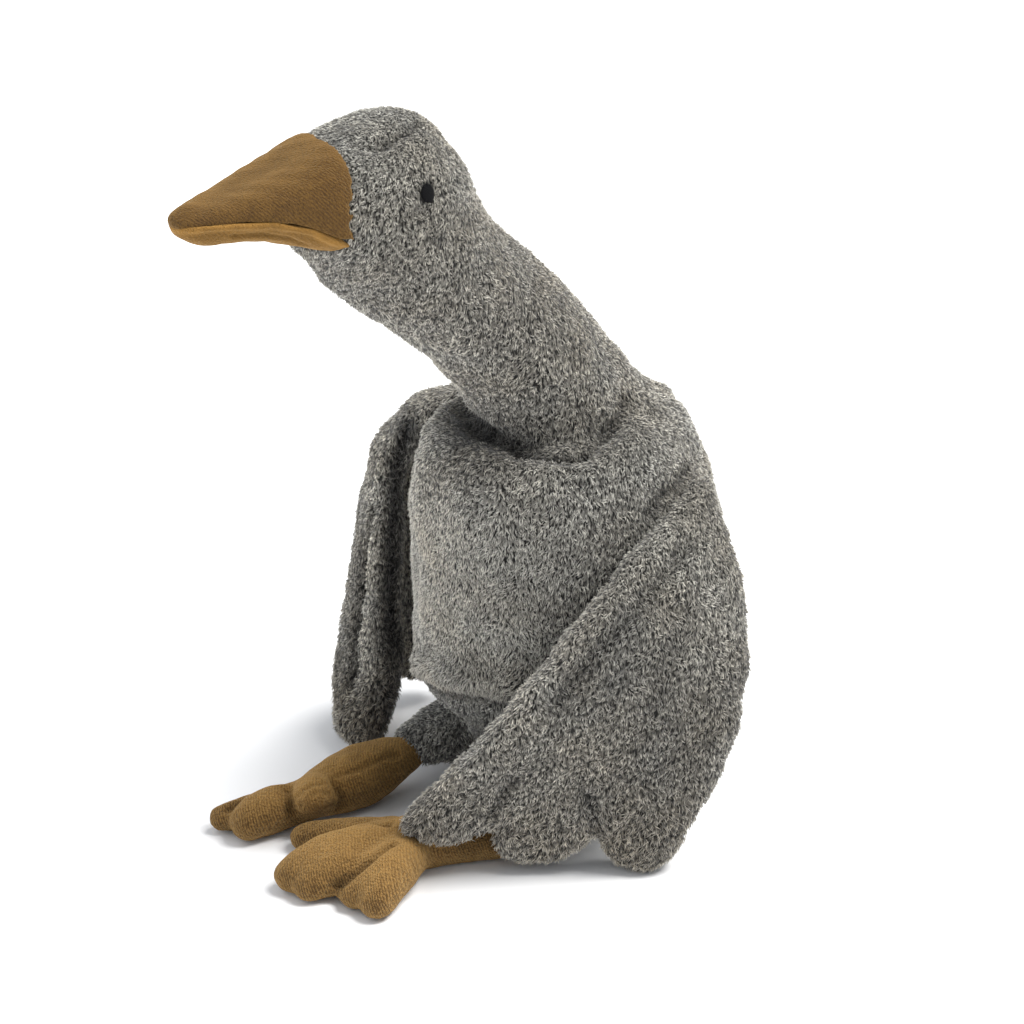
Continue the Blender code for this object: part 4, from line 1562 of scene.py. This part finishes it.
class GOOSE_OT_stage(bpy.types.Operator):
    """Sets out the white floor, the soft lights and the camera"""

    bl_idname = "plush_goose.stage"
    bl_label = "Stage"

    def execute(self, context):
        settings = context.scene.goose_stage
        scene = context.scene
        bm = bmesh.new()
        bmesh.ops.create_grid(bm, x_segments=2, y_segments=2, size=FLOOR_REACH)
        mesh = bpy.data.meshes.new("floor")
        bm.to_mesh(mesh)
        bm.free()
        material, tree, shader = new_material("white floor")
        noise = add(tree, "ShaderNodeTexNoise")
        noise.inputs["Scale"].default_value = 3.0
        tree.links.new(add(tree, "ShaderNodeTexCoord").outputs["Object"], noise.inputs["Vector"])
        paler = [min(1.0, c * 1.01) for c in settings.floor]
        white = blend(tree, "MIX", noise.outputs[0], settings.floor, paler)
        tree.links.new(white, shader.inputs["Base Color"])
        set_finish(shader, 0.9, 0.1)
        mesh.materials.append(material)
        floor = bpy.data.objects.new("floor", mesh)
        scene.collection.objects.link(floor)
        self.lights(scene, settings)
        self.camera(scene, settings)
        scene.view_settings.view_transform = "Standard"
        return {"FINISHED"}

    @staticmethod
    def lights(scene, settings):
        """A bright white surround, a large soft light overhead and a weak one from the other side."""
        world = bpy.data.worlds.new("surround")
        world.use_nodes = True
        background = world.node_tree.nodes["Background"]
        background.inputs[0].default_value = (0.93, 0.96, 1.0, 1.0)
        background.inputs[1].default_value = settings.sky
        scene.world = world
        # Each lamp: how strong, how wide it looks, its colour, and the place it shines from.
        lamps = {
            "softbox": (settings.softbox, settings.softness, (1.0, 0.985, 0.96), (0.45, 0.85, 2.2)),
            "fill": (settings.fill, settings.softness * 2, (0.95, 0.97, 1.0), (-0.80, -1.40, 1.3)),
        }
        for name, (strength, softness, colour, spot) in lamps.items():
            data = bpy.data.lights.new(name, "SUN")
            data.energy, data.angle, data.color = strength, softness, colour
            lamp = bpy.data.objects.new(name, data)
            lamp.location = place(*spot)
            lamp.rotation_euler = (place(*LAMP_AIM) - lamp.location).to_track_quat("-Z", "Y").to_euler()
            scene.collection.objects.link(lamp)

    @staticmethod
    def camera(scene, settings):
        """The camera, looking down a little on the goose's left side."""
        a, e = settings.azimuth, settings.elevation
        back = Vector((math.sin(a) * math.cos(e), -math.cos(a) * math.cos(e), math.sin(e)))
        data = bpy.data.cameras.new("camera")
        data.lens, data.sensor_width = settings.lens, SENSOR_WIDTH
        camera = bpy.data.objects.new("camera", data)
        camera.location = place(*CAMERA_AIM) + back * settings.camera_distance
        camera.rotation_euler = back.to_track_quat("Z", "Y").to_euler()
        scene.collection.objects.link(camera)
        scene.camera = camera


OPERATORS = (
    GOOSE_OT_body_cover,
    GOOSE_OT_wings,
    GOOSE_OT_bill,
    GOOSE_OT_eyes,
    GOOSE_OT_feet,
    GOOSE_OT_pile,
    GOOSE_OT_stage,
)
SETTINGS = {
    "goose_pile": PileSettings,
    "goose_bill": BillSettings,
    "goose_feet": FeetSettings,
    "goose_eyes": EyeSettings,
    "goose_stage": StageSettings,
}


class GOOSE_PT_pieces(bpy.types.Panel):
    """Lists the goose's pieces and their settings"""

    bl_idname = "GOOSE_PT_pieces"
    bl_label = "Plush Goose"
    bl_space_type = "VIEW_3D"
    bl_region_type = "UI"
    bl_category = "Goose"

    def draw(self, context):
        for operator in OPERATORS:
            self.layout.operator(operator.bl_idname)
        for name, group in SETTINGS.items():
            box = self.layout.box()
            for key in group.__annotations__:
                box.prop(getattr(context.scene, name), key)


def register():
    for group in SETTINGS.values():
        bpy.utils.register_class(group)
    for operator in OPERATORS:
        bpy.utils.register_class(operator)
    bpy.utils.register_class(GOOSE_PT_pieces)
    for name, group in SETTINGS.items():
        setattr(bpy.types.Scene, name, PointerProperty(type=group))


def unregister():
    for name in SETTINGS:
        delattr(bpy.types.Scene, name)
    for known in (GOOSE_PT_pieces, *reversed(OPERATORS), *SETTINGS.values()):
        bpy.utils.unregister_class(known)


def main():
    """Builds the goose and its stage."""
    register()
    bpy.ops.plush_goose.body_cover()
    bpy.ops.plush_goose.wings()
    bpy.ops.plush_goose.bill()
    bpy.ops.plush_goose.eyes()
    bpy.ops.plush_goose.feet()
    bpy.ops.plush_goose.pile()
    bpy.ops.plush_goose.stage()


if __name__ == "__main__":
    main()
